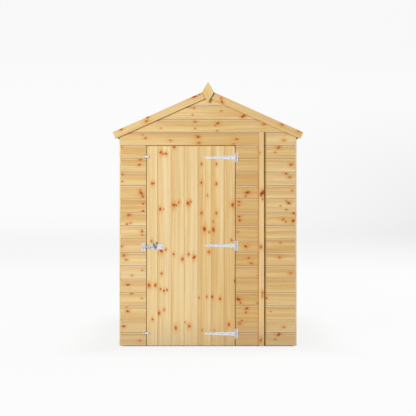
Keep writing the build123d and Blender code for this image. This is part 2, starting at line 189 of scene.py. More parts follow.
# Pine: one knot, four knots, the grain that bends round them, and the finished board colour
knotLetters = "ABCD"  # the knots that a face reads
knotFields = {kind + letter: "Vector" for letter in knotLetters for kind in ("Knot", "Turn")}
knotMarks = {"Core": "Float", "Halo": "Float", "Bend": "Float", "Red": "Float"}
boardFields = {"Place": "Vector", "Tone": "Float", "Cove": "Float", **knotFields}
knotMake = {
    "scale": 1.22,  # on the radii of the listed knots
    "near": 250 * mm,  # a face reads no knot further off
    "stretchLeast": 0.2,
    "rough": 105.0,  # waves a metre in the rim
    "fray": (40.0, 260.0),  # feathering along the grain, waves a metre along and across
    "frayReach": 1.2,  # either way, in radii
    "rim": (0.5, 1.1),  # where the core starts to fade and where it ends, in radii
    "dark": (0.0, 0.7, 0.5, 1.0),  # a redder knot is also a darker one
    "red": (0.3, 0.9),  # the core turns red between these depths
    "redLeast": 0.25,
    "halo": (2.8, 1.7),  # along and across, in radii
    "bow": 0.6,  # how much the grain bows out round it
    "streaks": 210.0,  # waves a metre inside the core
    "streakEase": (0.34, 0.6, 0.7, 1.0),
}
grainMake = {  # waves a metre along and across, then detail and roughness
    "drift": (1.6, 5.0, 1.0),
    "sway": 30 * mm,
    "layer": 7.3,  # spreads the boards' seeds
    "band": (0.9, 30.0, 3.0, 0.55),
    "bandEase": (0.32, 0.68),
    "line": (1.1, 150.0, 2.0, 0.6),
    "lineEase": (0.5, 0.72),
    "fibre": (22.0, 900.0),
}
boardMake = {
    "line": 0.5, "cove": 0.85, "arris": 0.32, "halo": 0.8,  # shares of the colours laid over the bands; cove is the share of the painted highlight, arris of the painted shade in the joints and the darker band under the cove
    "shade": (0.3, 0.7, 0.94, 1.03),  # by fibre
    "rough": (0.2, 0.8, 0.52, 0.68),
    "fibreHeight": 0.5, "lineHeight": 0.5, "knotDepth": 0.4, "bump": 0.6 * mm,
}
pineColours = {
    "Pale": tint(236, 207, 150),
    "Deep": tint(217, 176, 110),
    "Late": tint(198, 148, 82),
    "Warm": tint(206, 158, 92),
    "Cream": tint(242, 220, 174),
    "CoveHighlight": tint(227, 208, 170),  # painted highlight on the scooped band along a board's top
    "StripShade": tint(150, 86, 52),  # painted shadow and shade beside the cover strip, where the tone passes 1
    "Amber": tint(214, 144, 62),
    "Heart": tint(200, 88, 26),
    "Ember": tint(146, 14, 20),
}


# A knot is an ellipse in (along, across) metres: its core is inside, its halo runs along the grain
def makeKnotGroup():
    tree, given = newGroup("pineKnot", {"Place": "Vector", "Knot": "Vector", "Turn": "Vector"}, knotMarks)
    place = apart(given["Place"])
    knotU, knotV, radius = apart(given["Knot"])
    angle, stretch, red = apart(given["Turn"])
    size = calc("MAXIMUM", radius, 0.01 * mm)
    du = (place[0] - knotU) / size
    dv = (place[1] - knotV) / size
    fray = drawnNoise(place, *knotMake["fray"])
    frayed = du + (fray * (2 * knotMake["frayReach"]) - knotMake["frayReach"])
    cosine, sine = calc("COSINE", angle), calc("SINE", angle)
    long = (frayed * cosine + dv * sine) / calc("MAXIMUM", stretch, knotMake["stretchLeast"])
    wide = dv * cosine - frayed * sine
    rough = noiseAt(given["Place"], knotMake["rough"]) * 2.0  # about 1
    distance = calc("SQRT", long * long + wide * wide) * rough
    real = ease(radius, 1 * mm, 2 * mm)  # an empty place has no radius
    core = ease(distance, *knotMake["rim"], 1.0, 0.0) * (real * ease(red, *knotMake["dark"]))
    haloU, haloV = du / knotMake["halo"][0], dv / knotMake["halo"][1]
    halo = calc("EXPONENT", (haloU * haloU + haloV * haloV) * -1.0) * real
    return closeGroup(tree, {
        "Core": core,
        "Halo": halo,
        "Bend": dv * size * (halo * -knotMake["bow"]),
        "Red": ease(core, *knotMake["red"]) * (red * (1.0 - knotMake["redLeast"]) + knotMake["redLeast"]),
    })


# Four knots as one: the strongest marks show, and the bends add up
def makeKnotsGroup(single):
    tree, given = newGroup("pineKnots", {"Place": "Vector", **knotFields}, knotMarks)
    rules = {"Core": "MAXIMUM", "Halo": "MAXIMUM", "Bend": "ADD", "Red": "MAXIMUM"}
    total = {}
    for letter in knotLetters:
        spot = {"Place": given["Place"], "Knot": given["Knot" + letter], "Turn": given["Turn" + letter]}
        marks = useGroup(tree, single, spot)
        for name, rule in rules.items():
            total[name] = calc(rule, total[name], marks[name]) if name in total else marks[name]
    return closeGroup(tree, total)


# Grain: noise drawn out along the board, at three widths: broad bands, late-wood lines and fibre
def makeGrainGroup():
    results = {"Band": "Float", "Line": "Float", "Fibre": "Float"}
    tree, given = newGroup("pineGrain", {"Place": "Vector", "Bend": "Float"}, results)
    u, v, seed = apart(given["Place"])
    bent = v + given["Bend"]
    drift = drawnNoise((u, bent, seed), *grainMake["drift"])
    bent = bent + (drift - 0.5) * grainMake["sway"]
    place = (u, bent, seed * grainMake["layer"])
    return closeGroup(tree, {
        "Band": ease(drawnNoise(place, *grainMake["band"]), *grainMake["bandEase"]),
        "Line": ease(drawnNoise(place, *grainMake["line"]), *grainMake["lineEase"]),
        "Fibre": drawnNoise(place, *grainMake["fibre"]),
    })


# Board: pale and deep pine by band, darker late wood, warm or cream by tone, halo and knot on top
def makeBoardGroup(knots, grain):
    colours = dict.fromkeys(pineColours, "Color")
    results = {"Colour": "Color", "Roughness": "Float", "Height": "Float"}
    tree, given = newGroup("pineBoard", {**boardFields, **colours}, results)
    spot = useGroup(tree, knots, {label: given[label] for label in ("Place", *knotFields)})
    lines = useGroup(tree, grain, {"Place": given["Place"], "Bend": spot["Bend"]})
    tone, cove = given["Tone"], given["Cove"]
    layers = (
        (lines["Line"] * boardMake["line"], "Late"),
        (positive(tone), "Warm"),
        (positive(tone * -1.0), "Cream"),
        # painted shadow beside the cover strip, where the tone passes 1
        (positive(tone - 1.0), "StripShade"),
        # painted highlight on the cove; below 0, painted shade in the joints
        (positive(cove) * boardMake["cove"], "CoveHighlight"),
        (positive(cove * -1.0) * boardMake["arris"], "Late"),
        (spot["Halo"] * boardMake["halo"], "Amber"),
    )
    colour = mixColour(lines["Band"], given["Pale"], given["Deep"])
    for share, name in layers:
        colour = mixColour(share, colour, given[name])
    streak = ease(noiseAt(given["Place"], knotMake["streaks"]), *knotMake["streakEase"])
    core = mixColour(spot["Red"] * streak, given["Heart"], given["Ember"])
    colour = mixColour(spot["Core"] * streak, colour, core)
    fibre = lines["Fibre"]
    shade = ease(fibre, *boardMake["shade"])
    height = fibre * boardMake["fibreHeight"] + lines["Line"] * boardMake["lineHeight"]
    return closeGroup(tree, {
        "Colour": mixColour(1.0, colour, join(shade, shade, shade), "MULTIPLY"),
        "Roughness": ease(fibre, *boardMake["rough"]),
        "Height": height - spot["Core"] * boardMake["knotDepth"],
    })


pineBoard = makeBoardGroup(makeKnotsGroup(makeKnotGroup()), makeGrainGroup())
# Painted shade in creases: a brown colour laid on by ambient occlusion
creaseShadeMake = {"reach": 22 * mm, "open": 0.88, "shut": 0.35, "colour": tint(146, 88, 48), "samples": 8}
groundShadeMake = {"height": 240 * mm, "most": 0.3, "colour": tint(150, 135, 123)}


# Painted shade: the wood is steadily greyer and darker towards the ground
def paintGroundShade(colour):
    height = apart(objectPlace(colour.tree))[2]
    share = height * (-groundShadeMake["most"] / groundShadeMake["height"]) + groundShadeMake["most"]
    return mixColour(positive(share), colour, groundShadeMake["colour"])


# Creases: painted shade, brown where boards meet, by how much of the sky near by is shut out
def paintCreaseShade(colour, most):
    node = colour.tree.nodes.new("ShaderNodeAmbientOcclusion")
    node.samples = creaseShadeMake["samples"]
    node.inputs["Distance"].default_value = creaseShadeMake["reach"]
    sky = wiresOf(colour.tree, node)["AO"]
    share = ease(sky, creaseShadeMake["shut"], creaseShadeMake["open"], most, 0.0)
    return mixColour(share, colour, creaseShadeMake["colour"])


# Planed pine reads the board's own place, tone, cove and knots; a node without them gives its grain's axis
def makePine(name, along=None, bump=0.25, crease=0.75, **changes):
    material, tree, shader = newMaterial(name, {"Specular IOR Level": 0.2})
    values = {**pineColours, **changes}
    if along is None:
        for label, kind in boardFields.items():
            node = tree.nodes.new("ShaderNodeAttribute")
            node.attribute_name = label[0].lower() + label[1:]
            values[label] = wiresOf(tree, node)["Fac" if kind == "Float" else "Vector"]
    else:
        spot = apart(objectPlace(tree))
        first, second = [spot[i] for i in range(3) if i != along]
        values["Place"] = join(spot[along], first + second, first - second)
    board = useGroup(tree, pineBoard, values)
    # painted shade towards the ground
    colour = paintGroundShade(board["Colour"])
    # painted shade in the creases
    if crease:
        colour = paintCreaseShade(colour, crease)
    paint(shader, colour, board["Roughness"], board["Height"], bump, boardMake["bump"])
    return material


endLook = {
    "pores": (160.0, 3.0, 0.6),  # waves a metre, detail and roughness
    "poreEase": (0.35, 0.7),
    "pale": tint(214, 172, 112),
    "dark": tint(176, 126, 72),
    "rough": 0.8,
    "bump": (0.4, 0.8 * mm),  # strength and distance
}


# End grain: open pores, darker in blots
def makeEndGrain():
    material, tree, shader = newMaterial("pineEndGrain", {"Specular IOR Level": 0.25})
    pores = noiseAt(objectPlace(tree), *endLook["pores"])
    colour = mixColour(ease(pores, *endLook["poreEase"]), endLook["pale"], endLook["dark"])
    paint(shader, colour, endLook["rough"], pores, *endLook["bump"])
    return material


sawnLook = {"bump": 0.6, "crease": 0.0, "Pale": tint(232, 204, 152), "Deep": tint(214, 178, 120)}
doorColours = {
    "Pale": tint(240, 213, 158),
    "Deep": tint(226, 190, 126),
    "Heart": tint(210, 96, 26),
    "Ember": tint(170, 28, 22),
    "Amber": tint(222, 150, 60),
}
claddingPine = makePine("claddingPine", crease=0.55, Heart=tint(178, 84, 30), Ember=tint(138, 28, 20))
doorPine = makePine("doorPine", crease=0.4, **doorColours)
trimPine = makePine("trimPine", Pale=tint(239, 211, 153), Deep=tint(224, 189, 124))
sawnPine = makePine("sawnPine", **sawnLook)
sawnAlongX = makePine("sawnPineAlongX", 0, **sawnLook)
sawnAlongY = makePine("sawnPineAlongY", 1, **sawnLook)
endGrain = makeEndGrain()
claddingLooks = [claddingPine, endGrain]
doorLooks = [doorPine, endGrain]
trimLooks = [trimPine, endGrain]
sawnLooks = [sawnPine, endGrain]

feltLook = {  # waves a metre, detail and roughness; each colour is laid on by its ease
    "grit": (900.0, 2.0, 0.7),
    "blots": (26.0, 5.0, 0.65),
    "runs": (2.0, 34.0, 3.0, 0.6),
    "base": tint(34, 36, 36),
    "gritColour": tint(82, 85, 82),
    "gritEase": (0.42, 0.62),
    "blotColour": tint(38, 40, 40),
    "blotEase": (0.45, 0.7, 0.0, 0.55),
    "runColour": tint(92, 94, 90),
    "runEase": (0.5, 0.75, 0.0, 0.4),
    "rough": (0.2, 0.8, 0.8, 0.96),
    "bump": (0.7, 1.2 * mm),
}


# Mineral felt: dark bitumen with grit of two tones, thinner in blots, and runs of dust down the slope
def makeFelt():
    material, tree, shader = newMaterial("mineralFelt", {"Specular IOR Level": 0.25})
    place = objectPlace(tree)
    grit = noiseAt(place, *feltLook["grit"])
    blots = noiseAt(place, *feltLook["blots"])
    runs = drawnNoise(apart(place), *feltLook["runs"])
    colour = mixColour(ease(grit, *feltLook["gritEase"]), feltLook["base"], feltLook["gritColour"])
    colour = mixColour(ease(blots, *feltLook["blotEase"]), colour, feltLook["blotColour"])
    colour = mixColour(ease(runs, *feltLook["runEase"]), colour, feltLook["runColour"])
    paint(shader, colour, ease(grit, *feltLook["rough"]), grit, *feltLook["bump"])
    return material


zincLook = {
    "spangle": 140.0,  # cells a metre
    "spangleShare": 0.35,
    "patches": (35.0, 3.0),  # waves a metre, and detail
    "patchEase": (0.5, 0.8, 0.0, 0.4),
    "smooth": 0.58,
    "spread": 0.16,  # of roughness, from cell to cell
    "bandEdge": 2 * mm,
    "bump": (0.15, 0.6 * mm),
}
hingeBarrelShade = {  # painted shade on the barrels
    "middle": 231.5 * mm, "half": 6 * mm, "height": 0.0, "slant": 0.0, "grey": tint(194, 194, 197),
}
handleShade = {  # painted shade across the handle, which leans
    "middle": -452 * mm, "half": 8 * mm, "height": 850 * mm, "slant": -0.6, "grey": tint(118, 119, 124),
}


# Zinc: a spangle of pale and dull cells, and a few dull patches; a band round a slanted line may carry
# painted shade
def makeZinc(name, pale, dull, smooth=zincLook["smooth"], band=None):
    material, tree, shader = newMaterial(name, {"Metallic": 1.0})
    place = objectPlace(tree)
    cells = tree.nodes.new("ShaderNodeTexVoronoi")
    cells.inputs["Scale"].default_value = zincLook["spangle"]
    feed(cells.inputs["Vector"], place)
    spangle = apart(wiresOf(tree, cells)["Color"])[0]
    patch = noiseAt(place, *zincLook["patches"])
    colour = mixColour(spangle * zincLook["spangleShare"], pale, dull)
    colour = mixColour(ease(patch, *zincLook["patchEase"]), colour, dull)
    if band is not None:
        x, _, z = apart(place)
        away = calc("ABSOLUTE", x - band["middle"] - (z - band["height"]) * band["slant"])
        share = ease(away, band["half"], band["half"] + zincLook["bandEdge"], 1.0, 0.0)
        colour = mixColour(share, colour, band["grey"])
    roughness = ease(spangle, 0.0, 1.0, smooth, smooth + zincLook["spread"])
    paint(shader, colour, roughness, patch, *zincLook["bump"])
    return material


mineralFelt = makeFelt()
brightZinc = makeZinc("brightZinc", tint(202, 201, 201), tint(168, 170, 173))
hingeZinc = makeZinc("hingeZinc", tint(207, 208, 210), tint(176, 178, 182), band=hingeBarrelShade)
boltZinc = makeZinc("boltZinc", tint(197, 199, 202), tint(158, 161, 167), band=handleShade)
dullZinc = makeZinc("dullZinc", tint(150, 151, 154), tint(116, 117, 122), 0.34)  # screws and nails
print("materials made:", len(bpy.data.materials))


# Board meshes
# A run of boards carries two chains, front and back, along a straight line. A point is
# origin + along * l + across * a + inward * d, where (a, d) come from the chains and l runs
# from starts to stops in even steps, or at given shares. Chains have the shape (boards, points, 2).
def carryBoards(front, back, starts, stops, steps, along, across, inward, origin=(0.0, 0.0, 0.0)):
    chains = np.stack([front, back], axis=2)  # boards, points, side, (a, d)
    share = np.linspace(0.0, 1.0, steps + 1) if isinstance(steps, int) else np.asarray(steps)
    share = share[None, :, None, None]
    places = np.broadcast_to(starts, chains.shape[:3])[:, None] * (1 - share)
    places = places + np.broadcast_to(stops, chains.shape[:3])[:, None] * share
    spread = np.broadcast_to(chains[:, None], places.shape + (2,))
    points = np.asarray(origin) + places[..., None] * along
    points = points + spread[..., :1] * across + spread[..., 1:] * inward
    flip = np.dot(np.cross(along, across), inward) > 0
    return {"points": points, "l": places, "a": spread[..., 0], "flip": flip}


# The front and back chains of a section: places a across the board, and a depth d at each
def chainsOf(a, front, back):
    return [np.stack([a, np.broadcast_to(depths, a.shape)], -1) for depths in (front, back)]


def bothSides(chains, column):  # a or d of the front and back chains, side by side
    return np.stack([chain[..., column] for chain in chains], -1)


def quads(*cornerSets):
    return np.stack(cornerSets, -1).reshape(-1, 4)


# Faces of one board: front and back grids, the two long edges, and a cap of quads at each end
def boardFaces(stations, points):
    s, k = np.meshgrid(np.arange(stations), np.arange(points), indexing="ij")
    front = (s * points + k) * 2
    back = front + 1
    sides = np.concatenate([
        quads(front[:-1, :-1], front[1:, :-1], front[1:, 1:], front[:-1, 1:]),
        quads(back[:-1, :-1], back[:-1, 1:], back[1:, 1:], back[1:, :-1]),
        quads(front[:-1, 0], back[:-1, 0], back[1:, 0], front[1:, 0]),
        quads(front[:-1, -1], front[1:, -1], back[1:, -1], back[:-1, -1]),
    ])
    caps = np.concatenate([
        quads(front[0, :-1], front[0, 1:], back[0, 1:], back[0, :-1]),
        quads(front[-1, :-1], back[-1, :-1], back[-1, 1:], front[-1, 1:]),
    ])
    return np.concatenate([sides, caps]), np.repeat([0, 1], [len(sides), len(caps)])


sharpAngle = math.radians(32)  # edges that turn more than this stay sharp


def fillMesh(name, points, faces, materials, slots=None):
    mesh = bpy.data.meshes.new(name)
    mesh.from_pydata(points.reshape(-1, 3).tolist(), [], [face for block in faces for face in block.tolist()])
    for material in materials:
        mesh.materials.append(material)
    if slots is not None:
        mesh.polygons.foreach_set("material_index", slots.astype(np.int32))
    mesh.polygons.foreach_set("use_smooth", np.ones(len(mesh.polygons), bool))
    mesh.set_sharp_from_angle(angle=sharpAngle)
    mesh.update()
    piece = bpy.data.objects.new(name, mesh)
    bpy.context.scene.collection.objects.link(piece)
    return piece


def addField(mesh, name, domain, values):  # one number or one vector for each point or face
    kind, key = ("FLOAT", "value") if values.ndim == 1 else ("FLOAT_VECTOR", "vector")
    field = mesh.attributes.new(name, kind, domain)
    field.data.foreach_set(key, np.ascontiguousarray(values, np.float32).ravel())


def settle(piece, body, slot, *nodes):
    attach(piece, body)
    if nodes:
        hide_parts(*nodes)
    return piece


def corners(node):
    return [np.array(corner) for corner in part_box(node)]


# Board by board: where l starts and stops, then where a does
def reachOf(run):
    return [edge(run[key], axis=(1, 2, 3)) for key in ("l", "a") for edge in (np.min, np.max)]


# Each face takes the four nearest knots of its own board; columns are l, a, radius, turn, stretch, red
def nearestKnots(middles, owners, knots, knotOwners):
    count = len(knotLetters)
    chosen = np.zeros((len(middles), count, 6))
    if len(knots):
        gap = np.hypot(middles[:, None, 0] - knots[None, :, 0], middles[:, None, 1] - knots[None, :, 1])
        gap = np.where(owners[:, None] == knotOwners[None, :], gap, np.inf)
        order = np.argsort(gap, axis=1, kind="stable")[:, :count]
        near = np.take_along_axis(gap, order, 1) < knotMake["near"]
        chosen[:, : order.shape[1]] = knots[order] * near[..., None]
    return chosen


rng = np.random.default_rng(7)
scatterMake = {
    "first": (0.1, 1.0),  # shares of the spacing
    "next": (0.5, 1.5),
    "count": (1, 4),  # knots in a whorl, up to one fewer than the last number
    "size": (0.35, 1.0),  # share of the largest radius
    "smaller": 1.3,  # power that favours small knots
    "slip": 18 * mm,  # along the board, within a whorl
    "turn": 1.2,
    "stretch": ([1.0, 1.2, 1.9], [0.5, 0.3, 0.2]),  # with their odds
    "red": 0.9,
}


# Seeded whorls: every half metre or so a board has one to three knots at nearly one place along it
def scatterKnots(run, spacing, largest):
    rows, owners = [], []
    stretches, odds = scatterMake["stretch"]
    for board, (low, high, base, top) in enumerate(zip(*reachOf(run))):
        place = low + spacing * rng.uniform(*scatterMake["first"])
        while place < high:
            for _ in range(rng.integers(*scatterMake["count"])):
                radius = largest * rng.uniform(*scatterMake["size"]) ** scatterMake["smaller"]
                rows.append([
                    place + rng.normal(0, scatterMake["slip"]),
                    rng.uniform(base, top),
                    radius,
                    rng.uniform(-scatterMake["turn"], scatterMake["turn"]),
                    rng.choice(stretches, p=odds),
                    rng.uniform(0.0, scatterMake["red"]),
                ])
                owners.append(board)
            place += spacing * rng.uniform(*scatterMake["next"])
    return np.array(rows).reshape(-1, 6), np.array(owners, int)


# Knots listed in millimetres: level place, height, radius, turn in degrees, stretch, redness
def placeKnots(rows, run, along, across, origin=(0.0, 0.0, 0.0), redder=0.0):
    table = np.array(rows, float).reshape(-1, 6)
    spots = np.stack([table[:, 0] * mm, np.zeros(len(table)), table[:, 1] * mm], 1) - np.asarray(origin)
    knots = table.copy()
    knots[:, 0], knots[:, 1] = spots @ along, spots @ across
    knots[:, 2] = table[:, 2] * knotMake["scale"] * mm
    knots[:, 3] = np.radians(table[:, 3])
    knots[:, 5] = np.clip(table[:, 5] + redder, 0.0, 1.0)
    start, stop, low, high = reachOf(run)
    inside = (knots[:, None, 1] >= low) & (knots[:, None, 1] <= high)
    inside &= (knots[:, None, 0] >= start) & (knots[:, None, 0] <= stop)
    return knots[inside.any(1)], inside.argmax(1)[inside.any(1)]


noKnots = (np.zeros((0, 6)), np.zeros(0, int))
boardVary = {"spacing": 420 * mm, "largest": 14 * mm, "toneSpread": 0.09, "toneLimit": 0.9, "seeds": 60.0}


# One piece from runs of boards, with the fields that the pine materials read.
# Its seat is the body, a slot that is not used, and the nodes it stands for; each run has its tone and its
# knots.
def makeBoards(name, seat, runs, looks, tones, knots=None, spacing=boardVary["spacing"],
               largest=boardVary["largest"], toneSpread=boardVary["toneSpread"]):
    made = {key: [] for key in ("points", "faces", "slots", "place", "tone", "cove", "knots")}
    base = 0
    for index, run in enumerate(runs):
        l, a = run["l"], run["a"]
        boards, stations, points = l.shape[:3]
        faces, slots = boardFaces(stations, points)
        size = stations * points * 2
        block = faces[:, ::-1] if run["flip"] else faces
        block = (block + size * np.arange(boards)[:, None, None]).reshape(-1, 4)
        seeds = rng.uniform(0.0, boardVary["seeds"], boards)[:, None, None, None]
        tone = rng.normal(0.0, toneSpread, boards) + tones[index]
        tone = np.clip(tone, -boardVary["toneLimit"], boardVary["toneLimit"])[:, None, None, None]
        table, tableOwners = knots[index] if knots else scatterKnots(run, spacing, largest)
        middles = np.stack([l.reshape(-1)[block].mean(1), a.reshape(-1)[block].mean(1)], 1)
        owners = np.repeat(np.arange(boards), len(faces))
        cove = np.asarray(run.get("cove", np.zeros(points)))[:, None] * np.array([1.0, 0.0])  # none behind
        made["points"].append(run["points"].reshape(-1, 3))
        made["faces"].append(block + base)
        made["slots"].append(np.tile(slots, boards))
        made["place"].append(np.stack([l, a, np.broadcast_to(seeds, l.shape)], -1).reshape(-1, 3))
        made["tone"].append(np.broadcast_to(tone + run.get("lean", 0.0), l.shape).reshape(-1))
        made["cove"].append(np.broadcast_to(cove, l.shape).reshape(-1))
        made["knots"].append(nearestKnots(middles, owners, table, tableOwners))
        base += size * boards
    whole = {key: np.concatenate(blocks) for key, blocks in made.items()}
    piece = fillMesh(name, whole["points"], [whole["faces"]], looks, whole["slots"])
    for key in ("place", "tone", "cove"):
        addField(piece.data, key, "POINT", whole[key])
    for i, letter in enumerate(knotLetters):
        addField(piece.data, "knot" + letter, "FACE", whole["knots"][:, i, :3])
        addField(piece.data, "turn" + letter, "FACE", whole["knots"][:, i, 3:])
    return settle(piece, *seat)


# Seats that many pieces share
cladding = ("shed", "cladding_pine")
trim = ("shed", "trim_pine")
framing = ("shed", "frame_pine")

# Wall boards
shiplap = {
    "cover": 113.3 * mm,
    "thickness": 12 * mm,
    "coveHeight": 13 * mm,
    "coveDepth": 5 * mm,
    "gap": 2.6 * mm,  # open joint under the lip
    "gapDepth": 9 * mm,
    "lip": 0.8 * mm,  # rounding of the lower edge
    "lipShade": 5 * mm,  # painted shade along the lower edge, fading out this far up
    "arris": (24 * mm, 11 * mm),  # where the darker band under the cove starts, and where it is nearly full
    "covePoints": 7,
    "rows": 16,
    "openJoint": 2 * mm,  # between the wall panels and the gables
    "lean": 0.09,  # paler by this tone towards the lower edge, and warmer towards the upper one
    "lintelLean": 2,  # the lintel board shows it most
}
rowStations = {"lintel": 16, "pier": 4, "panel": 14, "narrow": 4, "side": 16}  # along the boards
panelTones = {
    "left": np.interp(np.arange(15), [0, 4, 7, 14], [0.22, 0.1, -0.16, -0.04]),  # rows from the top down
    "narrow": np.interp(np.arange(16), [0, 4, 8, 15], [-0.2, -0.12, 0.12, -0.2]),
    "lintel": 0.24, "right": 0.43, "gable": 0.08, "other": 0.08,
}
shiplapLean = shiplap["lean"] * np.repeat([-1.0, 0.5, 0.7], [5, 1, 8])[None, None, :, None]
shiplapCove = np.concatenate([  # painted shade below 0, painted highlight above it
    [-0.8, -0.8, -0.8, -0.6, 0.0],  # painted shade in the joint and under the lip
    [0.0, -0.75],  # arris
    [-1.0, -0.7, -0.2, 0.4, 1.0, 1.0, 1.0],  # cove: darker at its foot, then the painted highlight
])


# Shiplap section: open joint, lip, flat face, then a quarter ellipse scooped in towards the top of the board
def shiplapChains(bottoms, tops, lowest):
    turn = np.linspace(0.0, np.pi / 2, shiplap["covePoints"])
    lip, cove, gap = shiplap["lip"], shiplap["coveHeight"], shiplap["gap"]
    joint = [0.0, gap, gap, gap + lip, gap + shiplap["lipShade"]]
    arris = shiplap["cover"] - cove - np.array(shiplap["arris"])
    heights = np.concatenate([joint, arris, shiplap["cover"] - cove * np.cos(turn)])
    flat = [lip, 0.0, 0.0, 0.0, 0.0]
    depths = np.concatenate([[shiplap["gapDepth"]] * 2, flat, shiplap["coveDepth"] * np.sin(turn)])
    a = np.clip(bottoms[:, None] + heights[None, :], lowest[:, None], tops[:, None])
    return chainsOf(a, depths, shiplap["thickness"])


wallTop = corners("front_lintel_cladding")[1][2]
leftBox, rightBox = corners("front_left_cladding"), corners("front_right_cladding")
narrowBox = corners("front_narrow_cladding")
wallFoot, wallFace = leftBox[0][2], leftBox[0][1]
openJoint = shiplap["openJoint"]
allRows = np.arange(shiplap["rows"])
lowerRows = allRows[1:]
rowTops = wallTop - shiplap["cover"] * allRows
rowBottoms = rowTops - shiplap["cover"]
rowLows = np.maximum(rowBottoms, wallFoot)
frontFace = (axisX, axisY, (0.0, wallFace, 0.0))  # along, inward, origin
backFace = (-axisX, -axisY, (0.0, -wallFace, 0.0))


def shiplapRun(chains, low, high, steps, face):
    along, inward, origin = face
    run = carryBoards(*chains, low, high, steps, along, axisZ, inward, origin)
    run["cove"], run["lean"] = shiplapCove, shiplapLean
    return run


def levelRun(rows, low, high, steps, face, joint=0.0):
    chains = shiplapChains(rowBottoms[rows], rowTops[rows] - joint * (rows == 0), rowLows[rows])
    return shiplapRun(chains, low, high, steps, face)


stripEdges = [corner[0] for corner in corners("front_cover_strip")]
# Painted shade beside the cover strip: a faint line on its left, and its painted cast shadow on its right
stripShadeMake = {
    "right": {"edge": stripEdges[0], "side": -1, "full": 7 * mm, "end": 17 * mm, "tone": 0.4},
    "narrow": {"edge": stripEdges[1], "side": 1, "full": 12 * mm, "end": 22 * mm, "tone": 1.5},
    "behind": 30 * mm,  # past the strip's edge
}


# Rows with painted shade beside the cover strip: full up to one place, gone at the next
def stripShadeRun(rows, low, high, paintedShade):
    edge, side, full, end = [paintedShade[key] for key in ("edge", "side", "full", "end")]
    reach = np.array([-stripShadeMake["behind"], 0.0, full, end])
    even = np.linspace(low, high, rowStations["narrow"])
    places = np.sort(np.clip(np.concatenate([edge + side * reach, even]), low, high))
    run = levelRun(rows, low, high, (places - low) / (high - low), frontFace, openJoint)
    away = (run["l"] - edge) * side
    run["lean"] = shiplapLean + paintedShade["tone"] * np.clip((end - away) / (end - full), 0.0, 1.0)
    return run


